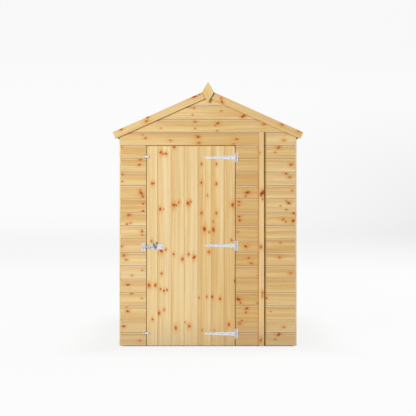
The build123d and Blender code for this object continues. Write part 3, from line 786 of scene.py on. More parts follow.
# Front: the top row runs over the doorway, the other rows stop at it
frontKnots = {
    "lintel": [
        (-555, 1794, 5, 0, 1.2, 0.3), (-530, 1766, 7, 0, 1.3, 0.4), (-318, 1745, 7, 10, 1.2, 0.2),
        (-82, 1776, 11, 25, 1.5, 0.5), (-98, 1788, 5, -20, 1.4, 0.3), (-77, 1724, 9, 20, 1.4, 0.3),
        (243, 1757, 8, 15, 1.3, 0.4), (217, 1717, 5, 0, 1.3, 0.3),
    ],
    "left": [
        (-733, 1688, 5, 0, 1, 0.5), (-573, 1586, 8, 35, 2.2, 0.4), (-582, 1540, 7, 5, 1.4, 0.7),
        (-725, 1458, 6, 0, 1.4, 0.4), (-728, 1398, 5, 0, 1.2, 0.4), (-566, 1300, 11, -50, 1.9, 0.6),
        (-553, 1273, 8, -30, 1.4, 0.5), (-575, 1325, 6, 0, 1.6, 0.3), (-547, 1210, 6, 0, 1.4, 0.7),
        (-550, 1146, 7, 0, 1.6, 0.8), (-670, 1113, 10, 10, 1.6, 0.4), (-686, 1038, 6, 0, 1.3, 0.9),
        (-658, 1046, 5, 30, 1.2, 0.3), (-558, 975, 8, 65, 1.6, 0.5), (-556, 946, 5, -50, 1.4, 0.4),
        (-736, 848, 8, 80, 1.6, 0.5), (-714, 771, 10, 70, 1.2, 0.4), (-693, 735, 7, -30, 1.3, 0.4),
        (-556, 646, 5, 0, 1.3, 0.5), (-644, 602, 5, 0, 1.3, 0.2), (-678, 523, 7, 0, 1.8, 0.8),
        (-646, 446, 5, 0, 3.0, 0.4), (-560, 408, 5, 0, 1.6, 0.3), (-681, 299, 8, 0, 1.7, 0.6),
        (-688, 334, 4, 60, 1.2, 0.4), (-714, 170, 8, 0, 1.7, 0.8), (-577, 48, 7, 60, 1.2, 0.3),
    ],
    "right": [
        (336, 1305, 11, 30, 1.8, 0.7), (320, 1274, 6, -20, 1.3, 0.5), (264, 1226, 8, 0, 1.5, 0.6),
        (262, 1198, 6, 10, 1.3, 0.5), (264, 1099, 8, 20, 1.3, 0.6), (270, 1068, 8, -25, 1.3, 0.7),
        (250, 970, 5, 0, 1.6, 0.3), (322, 848, 11, 10, 1.2, 0.5), (345, 750, 7, 60, 1.3, 0.3),
        (366, 705, 7, 0, 1.7, 0.3), (258, 400, 11, -35, 1.6, 0.8), (276, 369, 6, 30, 1.2, 0.5),
        (421, 370, 5, 60, 1.4, 0.5), (328, 323, 8, 30, 1.9, 0.7), (322, 291, 6, 0, 1.5, 0.5),
        (287, 217, 5, 60, 1.2, 0.5), (268, 194, 10, 10, 1.5, 0.2), (430, 600, 6, 0, 1.6, 0.2),
    ],
    "narrow": [
        (643, 1747, 8, 70, 1.1, 0.2), (599, 1687, 10, 45, 1.8, 0.4), (570, 1645, 5, 30, 1.3, 0.4),
        (705, 1542, 9, 10, 1.5, 0.5), (663, 1464, 7, 0, 1.4, 0.6), (692, 1434, 8, 0, 1.5, 0.3),
        (713, 1320, 5, 40, 1.3, 0.4), (684, 1216, 9, -10, 1.7, 0.5), (664, 1232, 5, 0, 1.5, 0.3),
        (666, 1160, 5, 0, 1.4, 0.4), (614, 1192, 4, 0, 1.2, 0.3), (727, 1130, 8, -20, 1.5, 0.4),
        (638, 1076, 9, 60, 1.2, 0.3), (660, 1058, 6, -40, 1.4, 0.4), (722, 1064, 11, 60, 1.2, 0.6),
        (614, 880, 6, 70, 1.2, 0.1), (608, 756, 8, 60, 1.3, 0.1), (699, 621, 8, 0, 1.6, 0.1),
        (492, 410, 6, 0, 1.2, 0.7), (532, 296, 4, 0, 1.2, 0.6), (643, 165, 7, 30, 1.3, 0.3),
        (601, 103, 11, 50, 1.8, 0.6), (569, 60, 6, 40, 1.4, 0.3),
    ],
    "gable": [
        (-119, 2020, 6, 10, 1.3, 0.3), (-131, 1962, 4, 0, 1.2, 0.3), (112, 1995, 5, 60, 1.2, 0.3),
        (299, 1952, 11, 35, 2.0, 0.5), (-110, 1904, 7, 0, 1.9, 0.3), (83, 1890, 9, 25, 1.4, 0.6),
        (64, 1872, 5, 30, 1.5, 0.3), (-110, 1848, 5, 20, 1.4, 0.3), (77, 1828, 5, 20, 1.5, 0.3),
        (474, 1883, 8, -10, 1.5, 0.3), (-400, 1850, 4, 0, 1.4, 0.2),
    ],
}
lintelRun = levelRun(allRows[:1], leftBox[0][0], rightBox[1][0], rowStations["lintel"], frontFace, openJoint)
lintelRun["lean"] = shiplap["lintelLean"] * shiplapLean
frontRuns = {
    "lintel": lintelRun,
    "left": levelRun(lowerRows, leftBox[0][0], leftBox[1][0], rowStations["pier"], frontFace),
    "right": stripShadeRun(lowerRows, rightBox[0][0], rightBox[1][0], stripShadeMake["right"]),
    "narrow": stripShadeRun(allRows, narrowBox[0][0], narrowBox[1][0], stripShadeMake["narrow"]),
}


def frontBoards(name, nodes, *keys):
    runs = [frontRuns[key] for key in keys]
    knots = [placeKnots(frontKnots[key], frontRuns[key], axisX, axisZ) for key in keys]
    makeBoards(name, (*cladding, *nodes), runs, claddingLooks, [panelTones[key] for key in keys], knots)


doorPanelNodes = ("front_left_cladding", "front_lintel_cladding", "front_right_cladding")
frontBoards("frontDoorPanelBoards", doorPanelNodes, "lintel", "left", "right")
frontBoards("frontNarrowPanelBoards", ("front_narrow_cladding",), "narrow")

# Gables: three rows whose ends follow the underside of the roof
gableMake = {
    "first": 1809.7 * mm,  # lowest row starts a little under the eaves line and is trimmed there
    "rows": 3,
    "footGap": 1 * mm,
    "tipGap": 5 * mm,
}
gableBox = corners("front_gable_cladding")
gableHalf, gablePeak = gableBox[1][0], gableBox[1][2]
roofFoot = corners("corner_strips")[1][0]  # where the roof underside meets the eaves height
pitch = math.atan2(gablePeak - wallTop, roofFoot)
slope = math.tan(pitch)


def gableRun(face):
    bottoms = gableMake["first"] + shiplap["cover"] * np.arange(gableMake["rows"])
    tops = np.minimum(bottoms + shiplap["cover"], gablePeak - gableMake["tipGap"])
    chains = shiplapChains(bottoms, tops, np.maximum(bottoms, wallTop + gableMake["footGap"]))
    reach = np.minimum(roofFoot - (bothSides(chains, 0) - wallTop) / slope, gableHalf)
    return shiplapRun(chains, -reach, reach, rowStations["panel"], face)


frontRuns["gable"] = gableRun(frontFace)
frontBoards("frontGableBoards", ("front_gable_cladding",), "gable")
backGableSeat = (*cladding, "back_gable_cladding")
makeBoards("backGableBoards", backGableSeat, [gableRun(backFace)], claddingLooks, [panelTones["gable"]])

# Back: two panels with the same joint as the front
otherTones = [panelTones["other"]] * 2
backRuns = [
    levelRun(allRows, -rightBox[1][0], -leftBox[0][0], rowStations["panel"], backFace, openJoint),
    levelRun(allRows, -narrowBox[1][0], -narrowBox[0][0], rowStations["narrow"], backFace, openJoint),
]
makeBoards("backPanelBoards", (*cladding, "back_cladding"), backRuns, claddingLooks, otherTones)


# Sides: a plain strip above the last row fills up to the bevel under the roof
def sideBoards(name, node, outward):
    low, high = corners(node)
    reach = high[0] if outward[0] > 0 else -low[0]
    along, inward, origin = axisY * outward[0], -outward, outward * reach
    rows = levelRun(allRows, low[1], high[1], rowStations["side"], (along, inward, origin))
    thick = shiplap["thickness"]
    bevel = (roofFoot - reach) * slope
    front = np.array([[[wallTop, 0.0], [wallTop + bevel, 0.0]]])
    back = np.array([[[wallTop, thick], [wallTop + bevel + thick * slope, thick]]])
    fill = carryBoards(front, back, low[1], high[1], rowStations["side"], along, axisZ, inward, origin)
    makeBoards(name, (*cladding, node), [rows, fill], claddingLooks, otherTones)


sideBoards("leftWallBoards", "left_cladding", -axisX)
sideBoards("rightWallBoards", "right_cladding", axisX)
print("wall boards done")

# Door boards: seven upright boards with a small V between them
doorMake = {
    "edges": [-425, -312, -201, -85, 27, 137],  # joints, level places in millimetres
    "slit": 0.5 * mm,
    "slitDepth": 5 * mm,
    "vee": 2.6 * mm,
    "veeDepth": 2.0 * mm,
    "paintedShade": [0.0, 0.0, -0.8, 0.0],  # painted shade in the V, from the slit inwards
    "stations": 18,
    "tones": [-0.3, -0.28, -0.2, -0.34, 0.1, 0.06, 0.16],
    "toneSpread": 0.02,
    "lean": 0.24,  # warmer at the left edge of each board, paler at the right
    "redder": 0.25,
}
doorKnots = [
    (-472, 1380, 9, 60, 1.5, 0.5), (-458, 1384, 6, -60, 1.5, 0.4), (-478, 892, 7, 20, 1.3, 0.3),
    (-500, 518, 11, 20, 1.4, 0.6), (-446, 520, 9, -30, 1.3, 0.4), (-470, 229, 8, 80, 1.3, 0.3),
    (-397, 1645, 10, 80, 1.2, 0.5), (-356, 1633, 8, 70, 1.3, 0.5), (-380, 1632, 6, 80, 1.4, 0.4),
    (-406, 1164, 9, -25, 1.6, 0.6), (-376, 1163, 4, 0, 1.2, 0.4), (-396, 812, 13, 70, 1.3, 1.0),
    (-356, 820, 6, 60, 1.3, 0.5), (-393, 618, 7, 30, 1.2, 0.4), (-402, 486, 6, -60, 1.3, 0.5),
    (-373, 472, 7, 90, 1.3, 0.6), (-347, 480, 6, 60, 1.3, 0.5), (-414, 282, 9, -20, 1.3, 0.7),
    (-372, 311, 6, 80, 1.4, 0.2), (-285, 1690, 9, 90, 1.4, 0.4), (-288, 1200, 12, 80, 1.3, 0.6),
    (-248, 1221, 8, 20, 1.2, 0.5), (-268, 1196, 6, 60, 1.3, 0.3), (-291, 781, 7, -20, 1.2, 0.8),
    (-216, 741, 10, -20, 1.4, 0.3), (-273, 157, 10, 0, 1.3, 0.4), (-168, 1213, 11, 50, 1.5, 0.5),
    (-148, 1228, 7, 40, 1.5, 0.4), (-164, 780, 7, 0, 1.2, 0.6), (-118, 755, 10, -60, 1.7, 0.5),
    (-194, 204, 4, 0, 1.2, 0.5), (-159, 173, 10, 60, 1.2, 0.2), (-55, 1546, 7, 0, 1.2, 0.7),
    (-57, 1387, 8, 0, 1.2, 0.7), (-5, 1279, 6, 0, 1.4, 0.1), (-55, 1131, 8, 0, 1.2, 0.7),
    (-30, 995, 13, 15, 1.4, 0.9), (9, 970, 6, 30, 1.2, 0.6), (7, 801, 9, 80, 1.3, 0.3),
    (-77, 413, 6, 20, 1.3, 0.4), (-10, 421, 6, 0, 1.2, 0.4), (-49, 139, 5, 60, 1.3, 0.3),
    (72, 1546, 7, 0, 1.4, 0.4), (71, 1378, 8, 0, 1.5, 0.4), (71, 1131, 8, 0, 1.5, 0.4),
    (45, 988, 11, 0, 1.4, 0.4), (45, 1057, 6, 20, 1.3, 0.2), (35, 420, 9, 0, 1.5, 0.6),
    (54, 136, 5, 0, 1.3, 0.2), (102, 404, 8, -20, 1.4, 0.4), (208, 1200, 11, 0, 1.6, 0.8),
    (200, 900, 7, 30, 1.3, 0.3), (226, 556, 6, 0, 1.5, 0.5), (177, 186, 10, 0, 1.4, 0.8),
]
doorLow, doorHigh = corners("door_boards")
doorEdges = np.concatenate([[doorLow[0]], np.array(doorMake["edges"]) * mm, [doorHigh[0]]])


# Section of a tongued board: a slit at each edge, a chamfer beside it, and a flat face
def veeChains(lows, highs, make, thickness):
    slit, vee = make["slit"], make["vee"]
    steps = np.array([0.0, slit, slit, slit + vee])
    a = np.concatenate([lows[:, None] + steps, highs[:, None] - steps[::-1]], 1)
    depths = [make["slitDepth"], make["slitDepth"], make["veeDepth"], 0.0]
    return chainsOf(a, depths + depths[::-1], thickness)


doorChains = veeChains(-doorEdges[1:], -doorEdges[:-1], doorMake, doorHigh[1] - doorLow[1])
doorWays = (axisZ, -axisX, axisY, frontFace[2])
doorRun = carryBoards(*doorChains, doorLow[2], doorHigh[2], doorMake["stations"], *doorWays)
# painted shade in the V between the boards
doorRun["cove"] = np.array(doorMake["paintedShade"] + doorMake["paintedShade"][::-1])
doorRun["lean"] = (doorMake["lean"] * np.repeat([-1.0, 1.0], 4))[None, None, :, None]
doorSeat = ("door", "door_pine", "door_boards")
doorTable = placeKnots(doorKnots, doorRun, axisZ, -axisX, redder=doorMake["redder"])
makeBoards("doorFaceBoards", doorSeat, [doorRun], doorLooks, [np.array(doorMake["tones"])], [doorTable],
           toneSpread=doorMake["toneSpread"])
print("door boards done")


# Boxes of the separate solids in a node, by spreading the lowest label over shared corners
def solidBoxes(node):
    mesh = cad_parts[node].data
    points = np.zeros(len(mesh.vertices) * 3, np.float32)
    mesh.vertices.foreach_get("co", points)
    points = points.reshape(-1, 3)
    _, same = np.unique(np.round(points, 5), axis=0, return_inverse=True)
    same = same.ravel()
    mesh.calc_loop_triangles()
    triangles = np.zeros(len(mesh.loop_triangles) * 3, np.int32)
    mesh.loop_triangles.foreach_get("vertices", triangles)
    triangles = same[triangles.reshape(-1, 3)]
    labels = np.arange(same.max() + 1)
    while True:
        lowest = labels[triangles].min(1)
        spread = labels.copy()
        np.minimum.at(spread, triangles.ravel(), np.repeat(lowest, 3))
        if (spread == labels).all():
            break
        labels = spread
    marks = labels[same]
    solids = [points[marks == mark].astype(float) for mark in np.unique(marks)]
    return [(solid.min(0), solid.max(0)) for solid in solids]


# Section of a planed board: chamfered at its four long edges
def planedChains(low, high, thick, chamfer):
    a = np.array([[low, low + chamfer, high - chamfer, high]])
    edge = np.array([chamfer, 0.0, 0.0, chamfer])
    return chainsOf(a, edge, thick - edge)


# Square timbers: chamfered boxes with grain along their length, or along their longest side
timberMake = {
    "chamfer": 1.5 * mm,
    "ledgeChamfer": 4 * mm,
    "step": 150 * mm,
    "spacing": 500 * mm,  # from knot to knot
    "largest": 11 * mm,
    "stripTone": 0.08,
    "bearerTone": 0.35,
    "ledgeTone": -0.1,
}


def timberRun(box, along, facing, chamfer):
    low, high = box
    along = int(np.argmax(high - low)) if along is None else along
    wide = ({0, 1, 2} - {along, facing}).pop()
    chains = planedChains(low[wide], high[wide], high[facing] - low[facing], chamfer)
    steps = max(1, int(round((high[along] - low[along]) / timberMake["step"])))
    ways = (axes[along], axes[wide], axes[facing], axes[facing] * low[facing])
    return carryBoards(*chains, low[along], high[along], steps, *ways)


def timbers(name, seat, along, facing, looks, tone=0.0, chamfer=timberMake["chamfer"], rows=None):
    runs = [timberRun(box, along, facing, chamfer) for box in solidBoxes(seat[2])]
    knots = [placeKnots(rows, runs[0], axisZ, axisX)] if rows else None
    tones = [tone] * len(runs)
    makeBoards(name, seat, runs, looks, tones, knots, timberMake["spacing"], timberMake["largest"])


stripKnots = [
    (457, 1297, 14, 30, 2.0, 1.0), (462, 1250, 6, 20, 1.5, 0.3), (448, 845, 9, 60, 1.2, 0.5),
    (462, 457, 8, -30, 1.4, 0.3), (459, 428, 6, 30, 1.3, 0.1), (447, 55, 10, 40, 1.3, 0.4),
    (440, 1640, 4, 0, 1.5, 0.2),
]
timbers("frontCoverStrip", (*trim, "front_cover_strip"), 2, 1, trimLooks, timberMake["stripTone"],
        rows=stripKnots)
timbers("backCoverStrip", (*trim, "back_cover_strip"), 2, 1, trimLooks)
timbers("frontStudTimbers", (*framing, "front_studs"), 2, 1, sawnLooks)
timbers("frontRailTimbers", (*framing, "front_rails"), 0, 1, sawnLooks)
timbers("backStudTimbers", (*framing, "back_studs"), 2, 1, sawnLooks)
timbers("backRailTimbers", (*framing, "back_rails"), 0, 1, sawnLooks)
timbers("sideStudTimbers", (*framing, "side_studs"), 2, 0, sawnLooks)
timbers("floorBearerTimbers", ("shed", "floor_pine", "floor_bearers"), 1, 2, sawnLooks,
        timberMake["bearerTone"])
timbers("doorLedgeTimbers", ("door", "frame_pine", "door_ledges"), 0, 1, sawnLooks,
        timberMake["ledgeTone"], timberMake["ledgeChamfer"])
timbers("doorStopTimbers", (*framing, "door_stops"), None, 1, sawnLooks)


# Nodes that keep their own solid only take a material
def dress(material, *nodes):
    for node in nodes:
        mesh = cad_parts[node].data
        mesh.materials.clear()
        mesh.materials.append(material)


dress(sawnAlongY, "side_rails", "ridge_beam", "roof_purlins")
dress(sawnAlongX, "gable_rafters")
print("timbers done")


def slopeAxes(side):  # down the slope, and square to it
    run, rise = math.cos(pitch), math.sin(pitch)
    return np.array([side * run, 0.0, -rise]), np.array([side * rise, 0.0, run])


def outerFace(low, high, inward):  # level place of the face that looks out
    return low[1] if inward[1] > 0 else high[1]


# Barge boards: down each slope, mitred upright at the peak and square at the tail
bargeMake = {"depth": 59 * mm, "chamfer": 1.2 * mm, "stations": 9, "tones": {-1: 0.16, 1: 0.3}}
bargeKnots = {
    -1: [
        (-118, 2117, 10, 24, 2.4, 1.0), (-72, 2134, 5, 20, 1.6, 0.3), (-512, 1941, 8, 24, 1.9, 0.9),
        (-520, 1908, 10, -10, 1.5, 0.3), (-734, 1838, 8, 20, 1.7, 0.6),
    ],
    1: [
        (112, 2100, 7, -24, 1.6, 0.4), (118, 2071, 8, -30, 1.8, 0.6), (623, 1877, 8, -20, 1.5, 0.4),
        (768, 1822, 9, -50, 1.3, 0.2),
    ],
}


def bargeBoard(name, node, side, inward, rows=None):
    low, high = corners(node)
    along, across = slopeAxes(side)
    origin = (0.0, outerFace(low, high, inward), high[2])
    chains = planedChains(-bargeMake["depth"], 0.0, high[1] - low[1], bargeMake["chamfer"])
    starts = -bothSides(chains, 0) * slope
    stop = max(abs(low[0]), abs(high[0])) / math.cos(pitch)
    run = carryBoards(*chains, starts, stop, bargeMake["stations"], along, across, inward, origin)
    knots = [placeKnots(rows, run, along, across, (0.0, 0.0, high[2]))] if rows else None
    makeBoards(name, (*trim, node), [run], trimLooks, [bargeMake["tones"][side]], knots)


bargeBoard("frontLeftBargeBoard", "front_left_barge", -1, axisY, bargeKnots[-1])
bargeBoard("frontRightBargeBoard", "front_right_barge", 1, axisY, bargeKnots[1])
bargeBoard("backLeftBargeBoard", "back_left_barge", -1, -axisY)
bargeBoard("backRightBargeBoard", "back_right_barge", 1, -axisY)

# Finials: a diamond, its length at each level place falling straight to the side points; the grain leans
finialMake = {"blunt": 0.8 * mm, "points": 9, "stations": 6, "lean": 0.45, "tone": 0.1, "bevel": 2.0 * mm}


def finialPlate(name, node, inward):
    low, high = corners(node)
    half, tall, middle = high[0], (high[2] - low[2]) / 2, (high[2] + low[2]) / 2
    a = np.linspace(-half + finialMake["blunt"], half - finialMake["blunt"], finialMake["points"])[None]
    chains = chainsOf(a, 0.0, high[1] - low[1])
    reach = tall * (1 - np.abs(bothSides(chains, 0)) / half)
    ways = (axisZ, axisX, inward, (0.0, outerFace(low, high, inward), 0.0))
    run = carryBoards(*chains, middle - reach, middle + reach, finialMake["stations"], *ways)
    run["a"] = run["a"] + finialMake["lean"] * run["l"]
    piece = makeBoards(name, (*trim, node), [run], trimLooks, [finialMake["tone"]], [noKnots])
    bevel = piece.modifiers.new("softEdge", "BEVEL")
    bevel.width = finialMake["bevel"]
    bevel.segments = 2
    bevel.limit_method = "ANGLE"
    bevel.material = 1


finialPlate("frontFinialPlate", "front_finial", axisY)
finialPlate("backFinialPlate", "back_finial", -axisY)

# Corner strips: upright on the side walls, their tops bevelled under the roof
stripMake = {"width": 40 * mm, "chamfer": 1.2 * mm, "stations": 12, "tone": 0.05, "spacing": 1.3}
stripLow, stripHigh = corners("corner_strips")
stripRuns = []
for outward in (-axisX, axisX):
    for low in (stripLow[1], stripHigh[1] - stripMake["width"]):
        chains = planedChains(low, low + stripMake["width"], roofFoot - gableHalf, stripMake["chamfer"])
        tops = wallTop + bothSides(chains, 1) * slope
        ways = (axisZ, axisY, -outward, outward * roofFoot)
        stripRuns.append(carryBoards(*chains, stripLow[2], tops, stripMake["stations"], *ways))
stripTones = [stripMake["tone"]] * len(stripRuns)
makeBoards("cornerStripBoards", (*trim, "corner_strips"), stripRuns, trimLooks, stripTones,
           spacing=stripMake["spacing"])

# Eaves rails: outer face lower than the inner one, so that the top lies under the roof boards
railMake = {"chamfer": 1.2 * mm, "stations": 12, "tone": 0.1}
railLow, railHigh = corners("eaves_rails")
railOut = railHigh[0]
railThick = railOut - roofFoot
soft, railFoot = railMake["chamfer"], railLow[2]
front = np.array([[[railFoot, soft], [railFoot + soft, 0.0], [wallTop - railThick * slope, 0.0]]])
back = np.array([[[railFoot, railThick - soft], [railFoot + soft, railThick], [wallTop, railThick]]])
railRuns = []
for outward in (-axisX, axisX):
    ways = (axisY, axisZ, -outward, outward * railOut)
    railRuns.append(carryBoards(front, back, railLow[1], railHigh[1], railMake["stations"], *ways))
railLooks = [sawnPine, mineralFelt]  # the rails' end faces take the felt, in place of felt folded over them, and partly as painted shade
makeBoards("eavesRailTimbers", (*framing, "eaves_rails"), railRuns, railLooks, [railMake["tone"]] * 2)

# Door braces: level cuts top and bottom, so the section is carried along the slant
braceMake = {"foot": 110 * mm, "chamfer": 3 * mm, "stations": 7, "tones": [-0.1, 0.05]}
braceRuns = []
for low, high in solidBoxes("door_braces"):
    footLow = high[0] - braceMake["foot"]
    slant = np.array([low[0] - footLow, 0.0, high[2] - low[2]])
    length = np.linalg.norm(slant)
    chains = planedChains(footLow, high[0], high[1] - low[1], braceMake["chamfer"])
    ways = (slant / length, axisX, axisY, (0.0, low[1], low[2]))
    braceRuns.append(carryBoards(*chains, 0.0, length, braceMake["stations"], *ways))
braceSeat = ("door", "frame_pine", "door_braces")
makeBoards("doorBraceTimbers", braceSeat, braceRuns, sawnLooks, braceMake["tones"])
print("trim done")

# Floor: tongued boards across the bearers, face up
plankMake = {
    "width": 98 * mm, "slit": 0.5 * mm, "slitDepth": 4 * mm, "vee": 1.0 * mm, "veeDepth": 0.8 * mm,
    "deckStations": 12, "deckTone": 0.1, "roofStations": 7, "roofTone": 0.05, "spacing": 600 * mm,
}


def plankChains(low, high, thick):
    count = int(round((high - low) / plankMake["width"]))
    edges = np.linspace(low, high, count + 1)
    return veeChains(edges[:-1], edges[1:], plankMake, thick)


deckLow, deckHigh = corners("floor_deck")
deckChains = plankChains(deckLow[1], deckHigh[1], deckHigh[2] - deckLow[2])
deckWays = (axisX, axisY, -axisZ, (0.0, 0.0, deckHigh[2]))
deckRun = carryBoards(*deckChains, deckLow[0], deckHigh[0], plankMake["deckStations"], *deckWays)
deckSeat = ("shed", "floor_pine", "floor_deck")
makeBoards("floorBoards", deckSeat, [deckRun], sawnLooks, [plankMake["deckTone"]],
           spacing=plankMake["spacing"])

# Roof boards run up the slope over the purlins, their faced side down; both ends are cut upright
roofPeak = corners("right_roof_panel")[1][2]
roofThick = (roofPeak - gablePeak) * math.cos(pitch)
roofSides = (("left", -1), ("right", 1))
for word, side in roofSides:
    node = word + "_roof_panel"
    low, high = corners(node)
    along, upward = slopeAxes(side)
    chains = plankChains(low[1], high[1], roofThick)
    starts = -bothSides(chains, 1) * slope
    stops = railOut / math.cos(pitch) + starts
    ways = (along, axisY, upward, (0.0, 0.0, gablePeak))
    run = carryBoards(*chains, starts, stops, plankMake["roofStations"], *ways)
    seat = ("shed", "roof_boarding", node)
    makeBoards(word + "RoofBoards", seat, [run], sawnLooks, [plankMake["roofTone"]],
               spacing=plankMake["spacing"])
print("floor and roof boards done")

# Felt: a bent strip from the ridge over the eaves and under the rail, a little wavy where it isn't nailed
feltMake = {
    "thick": 3 * mm,
    "wave": 0.7 * mm,
    "ripples": ((9.0, 23.0, 0.0), (17.0, -11.0, 1.3)),  # radians a metre along and across, and a start
    "still": (690 * mm, 740 * mm),  # the waves fade out between these level places
    "lip": 1773 * mm,  # where the fold down the rail has one more corner
    "under": 753 * mm,  # how far in it is tucked below the rail
    "stations": 60,
    "slopePoints": 18,
    "ridgePoints": 13,
}


def feltPiece(name, node, side, outline, waves):
    low, high = corners(node)
    step = np.diff(outline, axis=0)
    normal = np.stack([-step[:, 1], step[:, 0]], 1) / np.linalg.norm(step, axis=1)[:, None]
    first, last = np.vstack([normal[:1], normal]), np.vstack([normal, normal[-1:]])
    mitre = (first + last) / (1 + (first * last).sum(1))[:, None]  # offset along each corner's mitre
    inner = outline[None]
    outer = inner + mitre[None] * feltMake["thick"]
    down = np.array([1.0, -1.0])
    ways = (axisY, axisX * side, -axisZ)
    run = carryBoards(outer * down, inner * down, low[1], high[1], feltMake["stations"], *ways)
    l, a = run["l"], run["a"]
    bump = sum(np.sin(l * along + a * across + start) for along, across, start in feltMake["ripples"])
    begin, end = feltMake["still"]
    fade = np.clip((end - np.abs(a)) / (end - begin), 0, 1) * waves * np.array([1.0, 0.0])
    points = run["points"] + (feltMake["wave"] * (bump * 0.5 + 1.0) * fade)[..., None] * axisZ
    faces = boardFaces(*l.shape[1:3])[0]
    piece = fillMesh(name, points, [faces[:, ::-1] if run["flip"] else faces], [mineralFelt])
    settle(piece, "shed", "roof_felt", node)


feltAcross = np.linspace(0.0, railOut, feltMake["slopePoints"])
feltSlope = np.stack([feltAcross, roofPeak - feltAcross * slope], 1)
feltFold = [(railOut, feltMake["lip"]), (railOut, railFoot), (feltMake["under"], railFoot)]
for word, side in roofSides:
    feltPiece(word + "RoofFelt", word + "_roof_felt", side, np.vstack([feltSlope, feltFold]), 1.0)
ridgeLow, ridgeHigh = corners("ridge_felt")
ridgeAcross = np.linspace(ridgeLow[0], ridgeHigh[0], feltMake["ridgePoints"])
ridgeBase = ridgeHigh[2] - feltMake["thick"] / math.cos(pitch)
ridgeLine = np.stack([ridgeAcross, ridgeBase - np.abs(ridgeAcross) * slope], 1)
feltPiece("ridgeFeltStrip", "ridge_felt", 1, ridgeLine, 0.0)
print("felt done")

outFaces = {  # right, up and outward on each wall
    "front": (axisX, axisZ, -axisY),
    "back": (-axisX, axisZ, axisY),
    "left": (-axisY, axisZ, -axisX),
    "right": (axisY, axisZ, axisX),
}
crossMake = {"arm": 0.12, "reach": 0.6}  # half the width of an arm and its length, in radii


# Round heads: rings of a low dome on a disc; a cross is pressed in where either arm is near
def roundHeads(name, body, sets, make, size=1.0, proud=1.0):
    sides, rows = make["sides"], len(make["rings"])
    angle = np.linspace(0.0, 2 * np.pi, sides, endpoint=False)
    ring, turn = np.meshgrid(np.array(make["rings"]), angle, indexing="ij")
    x, y = ring * np.cos(turn), ring * np.sin(turn)
    pressed = (np.minimum(np.abs(x), np.abs(y)) < crossMake["arm"]) & (ring < crossMake["reach"])
    rise = np.array(make["rises"])[:, None] * mm * proud - make["press"] * proud * pressed
    radius = make["radius"] * size
    points = []
    for places, right, up, outward in sets:
        spots = np.asarray(places, float)[:, None, None, :]
        head = radius * (x[..., None] * right + y[..., None] * up)
        points.append((spots + head + rise[..., None] * outward).reshape(-1, 3))
    points = np.concatenate(points)
    k, s = np.meshgrid(np.arange(rows - 1), np.arange(sides), indexing="ij")
    t = (s + 1) % sides
    band = quads(k * sides + s, (k + 1) * sides + s, (k + 1) * sides + t, k * sides + t)
    top = np.arange(sides)[None]
    foot = (top + (rows - 1) * sides)[:, ::-1]
    shift = ring.size * np.arange(len(points) // ring.size)[:, None, None]
    faces = [(block + shift).reshape(-1, block.shape[1]) for block in (band, top, foot)]
    settle(fillMesh(name, points, faces, [dullZinc]), body, "zinc_hardware")


screwMake = {
    "radius": 3.6 * mm,
    "rings": [0.14, 0.34, 0.55, 0.7, 0.9, 1.0, 1.0],
    "rises": [1.3, 1.28, 1.2, 1.1, 0.75, 0.4, -0.4],  # in millimetres
    "press": 0.8 * mm,
    "sides": 24,
    "sheet": 2.5 * mm,  # thickness of the straps and plates that they hold
    "strapLeast": 100 * mm,  # shorter solids of the straps are barrels
    "alongStrap": (190, 118, 42),  # level places in millimetres
    "downPlate": (-30, 0, 30),
    "plateEdge": 10 * mm,
    "boltEdge": 8 * mm,
    "boltRow": 7 * mm,
    "boltEnd": 15 * mm,
    "keeperRow": 9 * mm,
}
flushScrew = {"size": 1.5, "proud": 0.12}  # under the rod


def screws(name, body, places, **options):
    spots = [(x, wallFace - screwMake["sheet"], z) for x, z in places]
    roundHeads(name, body, [(spots, *outFaces["front"])], screwMake, **options)


def middlesOf(boxes, axis):
    return sorted({round(float(low[axis] + high[axis]) / 2, 4) for low, high in boxes})


# Three screws along each strap and down each hinge plate, two and a flush one in the bolt, two in its keeper
strapBoxes = [box for box in solidBoxes("hinge_straps") if box[1][0] - box[0][0] > screwMake["strapLeast"]]
strapLevels = middlesOf(strapBoxes, 2)
plateX = corners("hinge_plates")[1][0] - screwMake["plateEdge"]
boltLow, boltHigh = corners("pad_bolt_plate")
boltX, boltEndX = boltLow[0] + screwMake["boltEdge"], boltHigh[0] - screwMake["boltEnd"]
boltRows = (boltLow[2] + screwMake["boltRow"], boltHigh[2] - screwMake["boltRow"])
keepLow, keepHigh = corners("pad_bolt_keeper")
keepX = (keepLow[0] + keepHigh[0]) / 2
keepRows = (keepLow[2] + screwMake["keeperRow"], keepHigh[2] - screwMake["keeperRow"])
strapPlaces = [(x * mm, z) for z in strapLevels for x in screwMake["alongStrap"]]
platePlaces = [(plateX, z + step * mm) for z in strapLevels for step in screwMake["downPlate"]]
screws("hingeStrapScrews", "door", strapPlaces)
screws("hingePlateScrews", "shed", platePlaces)
screws("padBoltPlateScrews", "door", [(boltX, z) for z in boltRows])
screws("padBoltEndScrew", "door", [(boltEndX, (boltLow[2] + boltHigh[2]) / 2)], **flushScrew)
screws("padBoltKeeperScrews", "shed", [(keepX, z) for z in keepRows])

